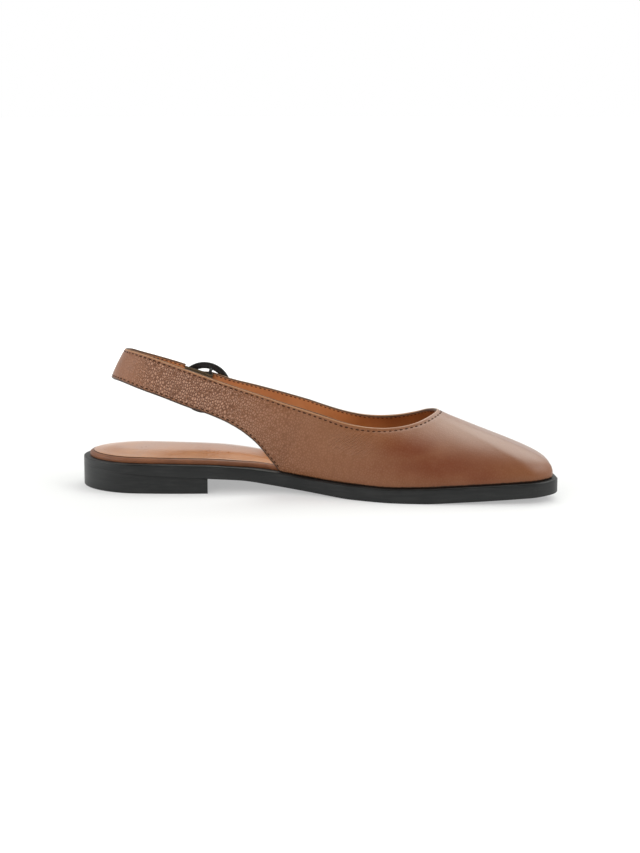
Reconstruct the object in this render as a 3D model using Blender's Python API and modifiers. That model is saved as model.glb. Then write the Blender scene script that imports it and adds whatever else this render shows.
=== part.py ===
"""Left slingback ballet flat: leather upper with a sling strap, wrapped footbed, rubber sole and ring buckle.

The tables and sizes are in millimetres and become metres where meshes are made.
Along runs from the back of the heel to the toe, across is positive on the outer side of the
foot, and height is measured from the floor.
"""

import math

import bmesh
import bpy
import numpy as np
from mathutils import Matrix, Vector

MM = 0.001
MERGE_DISTANCE = 1e-6
SMOOTH_ANGLE = 35.0

# Gap between pieces that meet
SEAM = 0.3

# Sole outline
SOLE_LENGTH = 256.0
HEEL_ROUND = 33.0
HEEL_FULLNESS = 1.95
TOE_ROUND = 15.0
TOE_FULLNESS = 1.85
OUTLINE_STEPS = 48

# The front slants back from the tip, which is on the inner side. Columns: along, outer, inner
SOLE_PLAN = (
    (0, 27.6, -27.6),
    (28, 28.4, -28.4),
    (50, 28.6, -28.0),
    (72, 28.4, -26.0),
    (98, 27.4, -22.2),
    (120, 29.5, -25.5),
    (145, 35.3, -34.7),
    (168, 39.5, -42.6),
    (183, 39.3, -43.8),
    (200, 35.6, -43.8),
    (215, 31.0, -42.9),
    (228, 25.6, -41.6),
    (238, 19.4, -40.4),
    (245, 11.6, -39.6),
    (249.5, 2.0, -39.0),
    (252.6, -8.0, -38.7),
    (254.9, -18.0, -38.5),
    (256, -26.0, -38.3),
)

# Sole seen from the side. Columns: along, underside, top
SOLE_SIDE = (
    (0, 12.8, 16.0),
    (40, 9.9, 15.7),
    (70, 8.1, 15.1),
    (88, 6.8, 13.6),
    (104, 4.5, 11.8),
    (120, 2.5, 9.6),
    (136, 0.9, 8.1),
    (149, 0.0, 7.5),
    (163, 0.0, 7.2),
    (184, 0.0, 7.7),
    (205, 1.0, 8.9),
    (230, 2.4, 10.2),
    (256, 4.1, 11.8),
)
SOLE_EDGE_ROUND = 0.6

# Heel block under the sole, whose breast slants back by the skew on the outer side
HEEL_BREAST = 70.8
BREAST_SKEW = 7.5
HEEL_EDGE_ROUND = 0.8

# Ledge of sole left showing outside the upper, and outside the footbed behind the upper
UPPER_LEDGE = 2.8
FOOTBED_LEDGE = 3.4
WALL = 1.8

# Footbed and sock. The footbed slips inside the upper between these two places
FOOTBED_THICK = 2.4
# Rounded side of the footbed. Columns: share of its thickness, drawn in by
FOOTBED_SIDE = ((0.0, 0.4), (0.4, 0.0), (0.8, 0.36), (1.0, 1.2))
FOOTBED_TUCK = (84.0, 100.0)
FOOTBED_WALL_GAP = 0.7
SOCK_INSET = 2.0
SOCK_THICK = 0.6
SOCK_EDGE_ROUND = 0.4

# Sling strap as ribs, from the inner quarter round the heel to the outer quarter.
# Columns: low_along, low_across, low_height, top_along, top_across, top_height
SLING = (
    (108.0, -20.9, 12.3, 124.0, -28.2, 46.4),
    (103.7, -24.0, 18.6, 118.0, -28.2, 48.3),
    (98.7, -26.7, 25.8, 111.5, -28.2, 50.4),
    (92.2, -28.4, 32.3, 103.5, -28.1, 53.1),
    (83.3, -29.6, 38.4, 92.0, -28.0, 56.8),
    (72.7, -29.7, 43.2, 79.5, -27.6, 60.8),
    (59.8, -28.7, 47.4, 65.5, -26.5, 65.5),
    (45.8, -26.4, 52.2, 51.5, -24.4, 70.0),
    (33.3, -22.9, 55.9, 39.0, -21.0, 73.7),
    (23.0, -16.4, 58.6, 30.0, -15.0, 75.3),
    (17.6, -8.5, 58.8, 25.6, -8.2, 75.2),
    (15.6, 0.0, 58.3, 23.9, 0.0, 74.6),
    (17.6, 8.5, 57.0, 25.6, 8.2, 73.3),
    (23.0, 16.2, 54.7, 29.7, 15.0, 70.9),
    (32.7, 23.3, 49.9, 39.0, 21.6, 67.2),
    (45.1, 27.4, 44.5, 51.0, 25.3, 63.0),
    (57.6, 29.2, 40.0, 63.5, 27.4, 58.4),
    (70.1, 30.1, 36.1, 77.0, 28.8, 54.1),
    (81.2, 30.0, 32.4, 90.5, 29.7, 50.8),
    (90.4, 29.0, 27.5, 102.0, 30.0, 47.8),
    (97.0, 27.5, 21.8, 110.0, 30.0, 45.6),
    (101.5, 25.8, 16.5, 116.0, 29.9, 43.9),
    (104.0, 24.6, 12.7, 121.0, 29.7, 42.5),
)

# Edge of the opening from the inner quarter round the throat to the outer quarter.
# Columns: along, across, height
TOPLINE = (
    (124.0, -28.2, 46.4),
    (134.0, -28.2, 43.3),
    (144.0, -27.9, 40.2),
    (154.0, -27.3, 38.2),
    (164.0, -26.2, 37.4),
    (173.0, -24.2, 37.9),
    (181.0, -20.6, 39.4),
    (187.5, -14.2, 41.6),
    (191.0, -7.5, 43.0),
    (191.8, -2.0, 43.3),
    (190.6, 4.0, 42.9),
    (186.5, 10.8, 41.6),
    (179.5, 17.2, 38.8),
    (170.0, 21.8, 36.3),
    (160.0, 24.6, 35.2),
    (150.0, 26.6, 35.5),
    (140.0, 28.0, 37.1),
    (130.0, 29.1, 39.7),
    (121.0, 29.7, 42.5),
)
THROAT_ROW = 9

# Bend of the ribs, from the inner quarter (0) through the toe (1) to the outer quarter (2).
# A rib is a conic from the sole over a shoulder point to the topline.
# Columns: place, run, rise, swell, tightness
RIB_BEND = (
    (0.00, 0.50, 0.50, 4.0, 1.0),
    (0.20, 0.34, 0.56, 3.4, 1.0),
    (0.45, 0.10, 0.60, 1.8, 1.0),
    (0.65, 0.03, 0.42, 1.0, 1.25),
    (0.82, 0.00, 0.31, 1.0, 2.3),
    (1.00, 0.00, 0.305, 1.6, 3.6),
    (1.18, 0.00, 0.30, 1.0, 2.4),
    (1.35, 0.03, 0.38, 1.2, 1.25),
    (1.55, 0.10, 0.57, 2.0, 1.0),
    (1.80, 0.36, 0.56, 3.0, 1.0),
    (2.00, 0.50, 0.50, 3.0, 1.0),
)
# Swell of the sling's own ribs between its two quarters. Columns: share of its length, swell
SLING_SWELL = ((0.0, 4.0), (0.25, 1.2), (0.5, 0.8), (0.8, 1.0), (1.0, 3.0))
# Where the middle rib of the toe stands across
TOE_MIDDLE = -9.0
# Ribs crowd towards the throat by this power of their distance from the toe
FAN = 1.35
VAMP_RIBS = 34
RIB_STEPS = 9
SLING_STEP = 4.2

# Fastening on the outer side, measured along the strap from the buckle's bar, positive to the toe
BUCKLE_ALONG = 63.0
SLING_END = -14.0
TAIL_TIP = -33.0
TAIL_ROUND = 8.0
TAIL_TIP_SHARE = 0.28
TAIL_STEP = 2.6
# How far the front strap stands off the foot line as it passes over the bar. Columns: along, lift
STRAP_LIFT = (
    (-60, 2.1),
    (-6, 2.1),
    (0, 3.2),
    (5, 1.8),
    (11, 0.6),
    (16, 0.0),
    (90, 0.0),
)
# The front strap tapers behind the bar. Columns: along, share of the strap's width
STRAP_TAPER = (
    (-60, 0.74),
    (-10, 0.74),
    (-4, 0.84),
    (1, 0.95),
    (5, 1.0),
    (90, 1.0),
)

# Round buckle, hung a little below the strap's middle.
# Its toe side and heel side stand this far off the foot line
RING_RADIUS = 12.9
RING_DROP = 0.9
RING_BAND = 3.6
RING_THICK = 2.0
RING_TOE_SIDE = 1.3
RING_HEEL_SIDE = 2.55
RING_SEGMENTS = 40
BAND_SEGMENTS = 10
BAR_RADIUS = 0.9
BAR_DEPTH = -0.9
# The bar dips behind the strap from ring to ring. Columns: across the strap, off the foot line
BAR_DIP = ((12.2, 2.4), (11.7, 1.2), (11.4, 0.0), (11.0, -0.7), (10.2, BAR_DEPTH))

# The pin lies over the strap on the ring's toe side. Columns: along, off the foot line
PRONG_RADIUS = 0.7
PRONG_LINE = ((-2.0, 4.5), (2.0, 4.85), (8.0, 4.8), (14.0, 4.4))

# Elastic from the end of the sling, looped round the bar, a little above the strap's middle
ELASTIC_WIDTH = 17.4
ELASTIC_RAISE = 0.2
ELASTIC_THICK = 0.8
LOOP_STEPS = 20

COLLECTION = "slingback_ballet_flat"
CUTTERS = "cutters"

# Colour, roughness and metallic value of each finish
FINISHES = {
    "brown_leather": ((0.165, 0.068, 0.034), 0.45, 0.0),
    "tan_lining": ((0.46, 0.20, 0.08), 0.6, 0.0),
    "black_rubber": ((0.012, 0.012, 0.013), 0.5, 0.0),
    "black_metal": ((0.010, 0.010, 0.011), 0.25, 0.9),
    "olive_elastic": ((0.055, 0.040, 0.020), 0.85, 0.0),
}


class Track:
    """A smooth curve through the rows of a table, read at places along its first column."""

    def __init__(self, rows, keep_flat=False):
        table = np.array(rows, float)
        self.knots = table[:, 0]
        self.values = table[:, 1:]
        steps = np.diff(self.knots)[:, None]
        grades = np.diff(self.values, axis=0) / steps
        before, after = grades[:-1], grades[1:]
        inner = (before * steps[1:] + after * steps[:-1]) / (steps[1:] + steps[:-1])
        if keep_flat:
            level = before * after <= 0
            total = np.where(level, 1.0, before + after)
            inner = np.where(level, 0.0, 2 * before * after / total)
        self.slopes = np.vstack([grades[:1], inner, grades[-1:]])

    @classmethod
    def through(cls, points):
        """A curve through points in space, read at distances along their chords."""
        points = np.array(points, float)
        chords = np.linalg.norm(np.diff(points, axis=0), axis=1)
        reach = np.concatenate([[0.0], np.cumsum(chords)])
        return cls(np.column_stack([reach, points]))

    def at(self, places):
        places = np.clip(np.asarray(places, float), self.knots[0], self.knots[-1])
        index = np.clip(np.searchsorted(self.knots, places) - 1, 0, len(self.knots) - 2)
        width = self.knots[index + 1] - self.knots[index]
        part = ((places - self.knots[index]) / width)[..., None]
        width = width[..., None]
        rest = 1 - part
        start = (1 + 2 * part) * rest**2 * self.values[index]
        end = part**2 * (3 - 2 * part) * self.values[index + 1]
        bends = part * rest * width * (rest * self.slopes[index] - part * self.slopes[index + 1])
        return start + end + bends


PLAN = Track(SOLE_PLAN)
SIDE = Track(SOLE_SIDE, keep_flat=True)
BEND = Track(RIB_BEND)
LIFT = Track(STRAP_LIFT, keep_flat=True)
TAPER = Track(STRAP_TAPER, keep_flat=True)


def end_cap(distance, reach, fullness):
    """Share of the full width that is left this far from a rounded end."""
    missing = np.clip(1 - distance / reach, 0, 1)
    return (1 - missing**fullness) ** (1 / fullness)


def sole_edge(along, side):
    """Where the outline of the sole lies across, on the outer (1) or inner (-1) side."""
    edge, inner = PLAN.at(along).T
    if side < 0:
        tip = SOLE_PLAN[-1][1]
        edge = tip + (inner - tip) * end_cap(SOLE_LENGTH - along, TOE_ROUND, TOE_FULLNESS)
    return edge * end_cap(along, HEEL_ROUND, HEEL_FULLNESS)


def rim(first, last, inset, steps=OUTLINE_STEPS, skew=0):
    """Outer and inner side of the sole outline between two places, moved inwards by inset.

    The outer side stops short of the inner side by the skew.
    """
    turn = np.linspace(0, math.pi, steps + 1)
    inset = np.broadcast_to(inset, turn.shape)
    sides = []
    for side in (1, -1):
        reach = last - first - skew * (side > 0)
        along = first + reach * (1 - np.cos(turn)) / 2
        edge = np.column_stack([along, sole_edge(along, side)])
        run = np.gradient(edge, axis=0)
        if first == 0:
            run[0] = (0, side)
        if last == SOLE_LENGTH:
            run[-1] = (0, -side)
        inward = side * np.column_stack([run[:, 1], -run[:, 0]])
        inward /= np.linalg.norm(inward, axis=1)[:, None]
        sides.append(edge + inset[:, None] * inward)
    return sides


def at_height(sides, height):
    """Adds a height to both sides of an outline, from a function of along."""
    return [np.column_stack([edge, height(edge[:, 0])]) for edge in sides]


def sole_underside(along):
    return SIDE.at(along)[:, 0]


def sole_top(along):
    return SIDE.at(along)[:, 1]


def raised(height, by):
    """The same height function, lifted."""
    return lambda along: height(along) + by


def new_object(name, mesh, finish, parent):
    """An object in the shoe's collection, with its finish."""
    obj = bpy.data.objects.new(name, mesh)
    bpy.data.collections[COLLECTION].objects.link(obj)
    mesh.materials.clear()
    mesh.materials.append(bpy.data.materials[finish])
    obj.parent = parent
    return obj


def mesh_from(name, work):
    mesh = bpy.data.meshes.new(name)
    work.to_mesh(mesh)
    work.free()
    mesh.shade_smooth()
    mesh.set_sharp_from_angle(angle=math.radians(SMOOTH_ANGLE))
    return mesh


def outline_solid(name, layers, finish, parent):
    """A closed solid through outlines stacked from the bottom to the top.

    Each layer holds the outer and the inner side. Sides that meet at an end share that point.
    """
    work = bmesh.new()
    rings = []
    for outer, inner in layers:
        outer_points = [work.verts.new(Vector(point) * MM) for point in outer]
        inner_points = [work.verts.new(Vector(point) * MM) for point in inner]
        for end in (0, -1):
            if np.allclose(outer[end], inner[end], atol=1e-4):
                work.verts.remove(inner_points[end])
                inner_points[end] = outer_points[end]
        rings.append((outer_points, inner_points))

    def face(*corners):
        work.faces.new(list(dict.fromkeys(corners)))

    for below, above in zip(rings, rings[1:]):
        for low, high in zip(below, above):
            for i in range(len(low) - 1):
                face(low[i], low[i + 1], high[i + 1], high[i])
        for end in (0, -1):
            if below[0][end] is not below[1][end]:
                face(below[0][end], below[1][end], above[1][end], above[0][end])
    for outer, inner in (rings[0], rings[-1]):
        for i in range(len(outer) - 1):
            face(outer[i], outer[i + 1], inner[i + 1], inner[i])
    bmesh.ops.recalc_face_normals(work, faces=work.faces)
    return new_object(name, mesh_from(name, work), finish, parent)


def build_outsole(parent):
    """Full-length rubber sole, thin over the heel block, with softly rounded edges."""
    full = rim(0, SOLE_LENGTH, 0)
    drawn_in = rim(0, SOLE_LENGTH, SOLE_EDGE_ROUND)
    layers = [
        at_height(drawn_in, sole_underside),
        at_height(full, raised(sole_underside, SOLE_EDGE_ROUND)),
        at_height(full, raised(sole_top, -SOLE_EDGE_ROUND)),
        at_height(drawn_in, sole_top),
    ]
    return outline_solid("outsole", layers, "black_rubber", parent)


def build_heel(parent):
    """Low heel block with a straight, slanted breast, under the back of the sole."""
    full = rim(0, HEEL_BREAST, 0, skew=BREAST_SKEW)
    drawn_in = rim(0, HEEL_BREAST, HEEL_EDGE_ROUND, skew=BREAST_SKEW)

    def floor(along):
        return np.zeros_like(along)

    layers = [
        at_height(drawn_in, floor),
        at_height(full, raised(floor, HEEL_EDGE_ROUND)),
        at_height(full, raised(sole_underside, SOLE_EDGE_ROUND - SEAM - HEEL_EDGE_ROUND)),
        at_height(drawn_in, raised(sole_underside, -SEAM)),
    ]
    return outline_solid("heel", layers, "black_rubber", parent)


def footbed_inset(extra=0.0):
    """Inset of the footbed from the sole outline: wider where it lies inside the upper."""
    turn = np.linspace(0, math.pi, OUTLINE_STEPS + 1)
    along = SOLE_LENGTH * (1 - np.cos(turn)) / 2
    start, end = FOOTBED_TUCK
    part = np.clip((along - start) / (end - start), 0, 1)
    tucked = UPPER_LEDGE + WALL + FOOTBED_WALL_GAP
    return FOOTBED_LEDGE + (tucked - FOOTBED_LEDGE) * part**2 * (3 - 2 * part) + extra


def build_footbed(parent):
    """Leather-wrapped board with a rounded side."""
    layers = []
    for share, drawn_in in FOOTBED_SIDE:
        edge = rim(0, SOLE_LENGTH, footbed_inset(drawn_in))
        layers.append(at_height(edge, raised(sole_top, SEAM + share * FOOTBED_THICK)))
    return outline_solid("footbed", layers, "brown_leather", parent)


def build_sock(parent):
    """Thin tan leather sock laid on the footbed."""
    base = SEAM + FOOTBED_THICK + SEAM
    edge = footbed_inset(SOCK_INSET)
    drawn_in = footbed_inset(SOCK_INSET + SOCK_EDGE_ROUND)
    layers = [
        at_height(rim(0, SOLE_LENGTH, edge), raised(sole_top, base)),
        at_height(rim(0, SOLE_LENGTH, edge), raised(sole_top, base + SOCK_THICK - SOCK_EDGE_ROUND)),
        at_height(rim(0, SOLE_LENGTH, drawn_in), raised(sole_top, base + SOCK_THICK)),
    ]
    return outline_solid("sock_lining", layers, "tan_lining", parent)


class Band:
    """The upper's outer face as ribs from its lower edge to its topline."""

    def __init__(self):
        table = np.array(SLING)
        middle = (table[:, :3] + table[:, 3:]) / 2
        chords = np.linalg.norm(np.diff(middle, axis=0), axis=1)
        self.reach = np.concatenate([[0.0], np.cumsum(chords)])
        self.sling = Track(np.column_stack([self.reach, table]))
        self.swell = Track(SLING_SWELL)
        self.topline = Track.through(TOPLINE)
        self.feather, self.toe = self.feather_line()
        self.bar = self.bar_reach()

    def feather_line(self):
        """Lower edge from the inner quarter round the toe to the outer one, and where it passes the toe."""
        fine_steps = 400
        outer, inner = rim(0, SOLE_LENGTH, UPPER_LEDGE, fine_steps)
        first, last = SLING[0][:3], SLING[-1][:3]
        inner = inner[np.argmin(np.abs(inner[:, 0] - first[0])) :]
        outer = outer[np.argmin(np.abs(outer[:, 0] - last[0])) :]
        points = np.concatenate([inner, outer[-2::-1]])
        points = np.column_stack([points, sole_top(points[:, 0]) + SEAM])
        points[0], points[-1] = first, last
        edge = Track.through(points)
        off_middle = np.where(points[:, 0] > SOLE_LENGTH / 2, np.abs(points[:, 1] - TOE_MIDDLE), np.inf)
        return edge, edge.knots[np.argmin(off_middle)]

    def foot(self, place):
        """Point of the lower edge at a place from 0 through the toe at 1 to 2."""
        return self.feather.at(np.interp(place, (0, 1, 2), (0, self.toe, self.feather.knots[-1])))

    def lip(self, place):
        """Point of the topline at the same place, crowded towards the throat."""
        throat = self.topline.knots[THROAT_ROW]
        end = self.topline.knots[-1]
        if place <= 1:
            return self.topline.at(throat * (1 - (1 - place) ** FAN))
        return self.topline.at(throat + (end - throat) * (place - 1) ** FAN)

    def bar_reach(self):
        """Distance along the sling of the buckle's bar."""
        fine_steps = 2000
        places = np.linspace(self.reach[len(SLING) // 2], self.reach[-1], fine_steps)
        middles = self.sling.at(places)
        along = (middles[:, 0] + middles[:, 3]) / 2
        return float(places[np.argmin(np.abs(along - BUCKLE_ALONG))])

    def sling_frame(self, reach):
        """Middle of the sling with its directions to the toe, up across the strap, and outwards."""
        row = self.sling.at(reach)
        nearby = self.sling.at(np.array([reach - 1.0, reach + 1.0]))
        centres = (nearby[:, :3] + nearby[:, 3:]) / 2
        ahead = Vector(centres[1] - centres[0]).normalized()
        up = Vector(row[3:] - row[:3])
        out = up.cross(ahead).normalized()
        up = ahead.cross(out)
        return Vector((row[:3] + row[3:]) / 2), ahead, up, out

    def sling_rib(self, reach, lift=0.0, narrow=1.0):
        """One rib of the sling, which may stand off the foot line or be narrowed."""
        row = self.sling.at(reach)
        _, _, _, out = self.sling_frame(reach)
        low, top = row[:3], row[3:]
        middle = (low + top) / 2
        low = middle + (low - middle) * narrow + np.array(out) * lift
        top = middle + (top - middle) * narrow + np.array(out) * lift
        swell = float(self.swell.at(reach / self.reach[-1])[0]) * narrow
        shoulder = (low + top) / 2 + np.array(out) * swell
        return low, shoulder, top, 1.0

    def vamp_rib(self, place):
        """One rib of the quarters and vamp, over its shoulder point."""
        low, top = self.foot(place), self.lip(place)
        run, rise, swell, tightness = BEND.at(place)
        step = 0.004
        ahead = self.foot(min(place + step, 2.0)) - self.foot(max(place - step, 0.0))
        out = np.array([ahead[1], -ahead[0], 0.0])
        out /= np.linalg.norm(out)
        shoulder = low + run * (top - low) + swell * out
        shoulder[2] = low[2] + rise * (top[2] - low[2])
        return low, shoulder, top, tightness

    def ribs(self):
        """All ribs, from the end of the sling round heel, inner side, toe and outer side to the tail."""
        found = []
        sling_end = self.bar + SLING_END
        tail_tip = self.bar + TAIL_TIP
        heel_count = round(sling_end / SLING_STEP)
        for reach in np.linspace(sling_end, 0, heel_count + 1)[:-1]:
            found.append(self.sling_rib(reach))
        for place in np.linspace(0, 2, 2 * VAMP_RIBS + 1):
            found.append(self.vamp_rib(place))
        tail_count = round((self.reach[-1] - tail_tip) / TAIL_STEP)
        for reach in np.linspace(self.reach[-1], tail_tip, tail_count + 1)[1:]:
            lift = float(LIFT.at(reach - self.bar)[0])
            past = max(0.0, TAIL_ROUND - (reach - tail_tip)) / TAIL_ROUND
            narrow = math.sqrt(1 - (1 - TAIL_TIP_SHARE**2) * past**2)
            narrow *= float(TAPER.at(reach - self.bar)[0])
            found.append(self.sling_rib(reach, lift, narrow))
        return found


def conic(low, shoulder, top, tightness, steps):
    """Points on the conic from low to top that bends round the shoulder."""
    part = np.linspace(0, 1, steps + 1)[:, None]
    rest = 1 - part
    pull = 2 * part * rest * tightness
    return (rest**2 * low + pull * shoulder + part**2 * top) / (rest**2 + pull + part**2)


def build_upper(band, parent):
    """One open leather band: sling, quarters, vamp and front strap, with its wall."""
    work = bmesh.new()
    rows = []
    for rib in band.ribs():
        rows.append([work.verts.new(Vector(point) * MM) for point in conic(*rib, RIB_STEPS)])
    for left, right in zip(rows, rows[1:]):
        for i in range(RIB_STEPS):
            work.faces.new((left[i], right[i], right[i + 1], left[i + 1]))
    obj = new_object("upper", mesh_from("upper", work), "brown_leather", parent)
    wall = obj.modifiers.new("wall", "SOLIDIFY")
    wall.thickness = WALL * MM
    wall.offset = -1
    return obj


def placed(matrix_axes, point):
    """A matrix from three directions and a point in millimetres."""
    axes = Matrix(matrix_axes).transposed().to_4x4()
    return Matrix.Translation(Vector(point) * MM) @ axes


def wire(name, points, radius):
    """A round wire through points, as a curve with closed ends."""
    curve = bpy.data.curves.new(name, "CURVE")
    curve.dimensions = "3D"
    curve.bevel_depth = radius * MM
    curve.bevel_resolution = 2
    curve.use_fill_caps = True
    spline = curve.splines.new("POLY")
    spline.points.add(len(points) - 1)
    for control, point in zip(spline.points, points):
        control.co = (*(Vector(point) * MM), 1)
    return curve


def mesh_of_curve(obj):
    """The closed mesh that a curve object makes."""
    graph = bpy.context.evaluated_depsgraph_get()
    mesh = bpy.data.meshes.new_from_object(obj.evaluated_get(graph))
    work = bmesh.new()
    work.from_mesh(mesh)
    bmesh.ops.remove_doubles(work, verts=work.verts, dist=MERGE_DISTANCE)
    work.to_mesh(mesh)
    work.free()
    return mesh


def build_buckle_ring(band, parent):
    """Round black buckle with a bar that dips behind the strap."""
    middle, ahead, up, out = band.sling_frame(band.bar)
    tilt = math.atan2(RING_HEEL_SIDE - RING_TOE_SIDE, 2 * RING_RADIUS)
    face = (RING_TOE_SIDE + RING_HEEL_SIDE) / 2
    height = face + RING_THICK / 2
    frame = placed((ahead, -up, out), middle - RING_DROP * up)

    bpy.ops.mesh.primitive_torus_add(
        major_radius=RING_RADIUS * MM,
        minor_radius=RING_BAND / 2 * MM,
        major_segments=RING_SEGMENTS,
        minor_segments=BAND_SEGMENTS,
    )
    torus = bpy.context.object
    mesh = torus.data
    bpy.data.objects.remove(torus)
    flatten = Matrix.Diagonal((1, 1, RING_THICK / RING_BAND, 1))
    mesh.transform(Matrix.Translation((0, 0, height * MM)) @ Matrix.Rotation(tilt, 4, "Y") @ flatten)
    mesh.shade_smooth()
    ring = new_object("buckle_ring", mesh, "black_metal", parent)
    ring.matrix_local = frame

    dip = [(0, RING_RADIUS, height), *((0, across, depth) for across, depth in BAR_DIP)]
    path = dip + [(0, -across, depth) for _, across, depth in reversed(dip)]
    curve = bpy.data.objects.new("bar_line", wire("bar_line", path, BAR_RADIUS))
    bpy.data.collections[CUTTERS].objects.link(curve)
    bar = bpy.data.objects.new("buckle_bar", mesh_of_curve(curve))
    bpy.data.collections[CUTTERS].objects.link(bar)
    bpy.data.objects.remove(curve)
    bar.parent = parent
    bar.matrix_local = frame
    bar.hide_render = True
    bar.display_type = "WIRE"
    join = ring.modifiers.new("bar", "BOOLEAN")
    join.operation = "UNION"
    join.object = bar
    return ring


def build_buckle_prong(band, parent):
    """Thin pin from the bar over the strap to the ring."""
    middle, ahead, up, out = band.sling_frame(band.bar)
    points = [(along, 0, height) for along, height in PRONG_LINE]
    prong = bpy.data.objects.new("buckle_prong", wire("buckle_prong", points, PRONG_RADIUS))
    bpy.data.collections[COLLECTION].objects.link(prong)
    prong.data.materials.append(bpy.data.materials["black_metal"])
    prong.parent = parent
    prong.matrix_local = placed((ahead, -up, out), middle - RING_DROP * up)
    return prong


def build_elastic(band, parent):
    """Woven elastic: a flat band behind the front strap that ends in a loop round the bar."""
    middle, ahead, up, out = band.sling_frame(band.bar)
    bore = BAR_RADIUS + SEAM
    loop = bore + ELASTIC_THICK
    half = ELASTIC_THICK / 2
    start = math.asin(half / loop)
    turns = np.linspace(math.pi - start, start - math.pi, LOOP_STEPS + 1)
    around = [(loop * math.cos(turn), BAR_DEPTH + loop * math.sin(turn)) for turn in turns]
    strip_points = 4
    line = []
    for reach in np.linspace(-2 * loop, SLING_END + SEAM, strip_points):
        centre, _, _, _ = band.sling_frame(band.bar + reach)
        offset = centre - middle
        line.append((offset.dot(ahead), BAR_DEPTH + offset.dot(out)))
    outline = [(along, depth + half) for along, depth in reversed(line)] + around
    outline += [(along, depth - half) for along, depth in line]
    turns = np.linspace(0, 2 * math.pi, LOOP_STEPS + 1)[:-1]
    hole = [(bore * math.cos(turn), BAR_DEPTH + bore * math.sin(turn)) for turn in turns]

    curve = bpy.data.curves.new("elastic", "CURVE")
    curve.dimensions = "2D"
    curve.fill_mode = "BOTH"
    curve.extrude = ELASTIC_WIDTH / 2 * MM
    for points in (outline, hole):
        spline = curve.splines.new("POLY")
        spline.points.add(len(points) - 1)
        for control, (along, depth) in zip(spline.points, points):
            control.co = (along * MM, depth * MM, 0, 1)
        spline.use_cyclic_u = True
    elastic = bpy.data.objects.new("elastic", curve)
    bpy.data.collections[COLLECTION].objects.link(elastic)
    curve.materials.append(bpy.data.materials["olive_elastic"])
    elastic.parent = parent
    elastic.matrix_local = placed((ahead, out, up), middle + ELASTIC_RAISE * up)
    return elastic


def add_finishes():
    """One plain shader for each finish."""
    for name, (colour, roughness, metallic) in FINISHES.items():
        material = bpy.data.materials.new(name)
        material.use_nodes = True
        shader = material.node_tree.nodes["Principled BSDF"]
        shader.inputs["Base Color"].default_value = (*colour, 1)
        shader.inputs["Roughness"].default_value = roughness
        shader.inputs["Metallic"].default_value = metallic


def clear_scene():
    for obj in list(bpy.data.objects):
        bpy.data.objects.remove(obj)
    for name in (COLLECTION, CUTTERS):
        collection = bpy.data.collections.new(name)
        bpy.context.scene.collection.children.link(collection)


def add_origin():
    """An empty that puts the middle of the sole's outline at the origin."""
    outer, inner = rim(0, SOLE_LENGTH, 0)
    across = np.concatenate([outer[:, 1], inner[:, 1]])
    origin = bpy.data.objects.new("last_line", None)
    origin.location = Vector((-SOLE_LENGTH / 2, -(across.min() + across.max()) / 2, 0)) * MM
    bpy.data.collections[COLLECTION].objects.link(origin)
    return origin


def main():
    clear_scene()
    add_finishes()
    origin = add_origin()
    band = Band()
    build_outsole(origin)
    build_heel(origin)
    build_footbed(origin)
    build_sock(origin)
    build_upper(band, origin)
    build_elastic(band, origin)
    build_buckle_ring(band, origin)
    build_buckle_prong(band, origin)


main()
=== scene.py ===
"""Looks of a left slingback ballet flat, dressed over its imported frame.

Tables and sizes are in millimetres in the last's own directions: along runs from the back of the
heel to the toe, across is positive on the outer side of the foot, and height is above the floor.
Points become metres of the shared frame where a mesh is made.
"""

import logging
import math
from collections.abc import Callable, Mapping, Sequence
from dataclasses import dataclass
from enum import Enum

import bmesh
import bpy
import numpy as np
from mathutils import Matrix, Vector


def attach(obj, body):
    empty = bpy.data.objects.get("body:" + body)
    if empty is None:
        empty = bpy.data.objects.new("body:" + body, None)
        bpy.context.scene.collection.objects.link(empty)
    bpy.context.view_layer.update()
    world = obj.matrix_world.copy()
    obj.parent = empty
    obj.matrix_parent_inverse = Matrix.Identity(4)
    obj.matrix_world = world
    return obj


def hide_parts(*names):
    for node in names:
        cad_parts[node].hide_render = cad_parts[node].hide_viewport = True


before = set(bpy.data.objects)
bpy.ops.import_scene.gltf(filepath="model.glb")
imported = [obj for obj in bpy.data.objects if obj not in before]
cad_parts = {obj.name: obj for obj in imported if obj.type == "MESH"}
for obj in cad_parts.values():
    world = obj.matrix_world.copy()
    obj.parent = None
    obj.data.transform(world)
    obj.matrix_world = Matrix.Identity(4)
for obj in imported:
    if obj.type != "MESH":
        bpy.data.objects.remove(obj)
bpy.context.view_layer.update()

LOG = logging.getLogger("slingback_flat")
MM = 0.001
BODY = "root"
# Points nearer than this, in metres, are one
TOUCH = 1e-6
# Edges above this angle in degrees stay sharp
SHARP = 40.0
# A band texture of scale 1 has this pitch
BAND_PITCH = math.pi / 10
NOISE_MIDDLE = 0.5

Material = bpy.types.Material
Mesh = bpy.types.Mesh
Piece = bpy.types.Object
Rows = tuple[tuple[float, ...], ...]
Pair = tuple[float, float]
Triple = tuple[float, float, float]
Colour = Triple
Layer = tuple[np.ndarray, np.ndarray]
Rib = tuple[np.ndarray, np.ndarray, np.ndarray, float, bool]
Height = Callable[[np.ndarray], np.ndarray]


class Slot(Enum):
    """Material slots of the record."""

    UPPER = "upper_leather"
    LINING = "lining_leather"
    RUBBER = "rubber"
    WEBBING = "elastic_webbing"
    METAL = "buckle_metal"


class Side(Enum):
    """Sides of the foot, by the sign of across."""

    OUTER = 1
    INNER = -1


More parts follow.
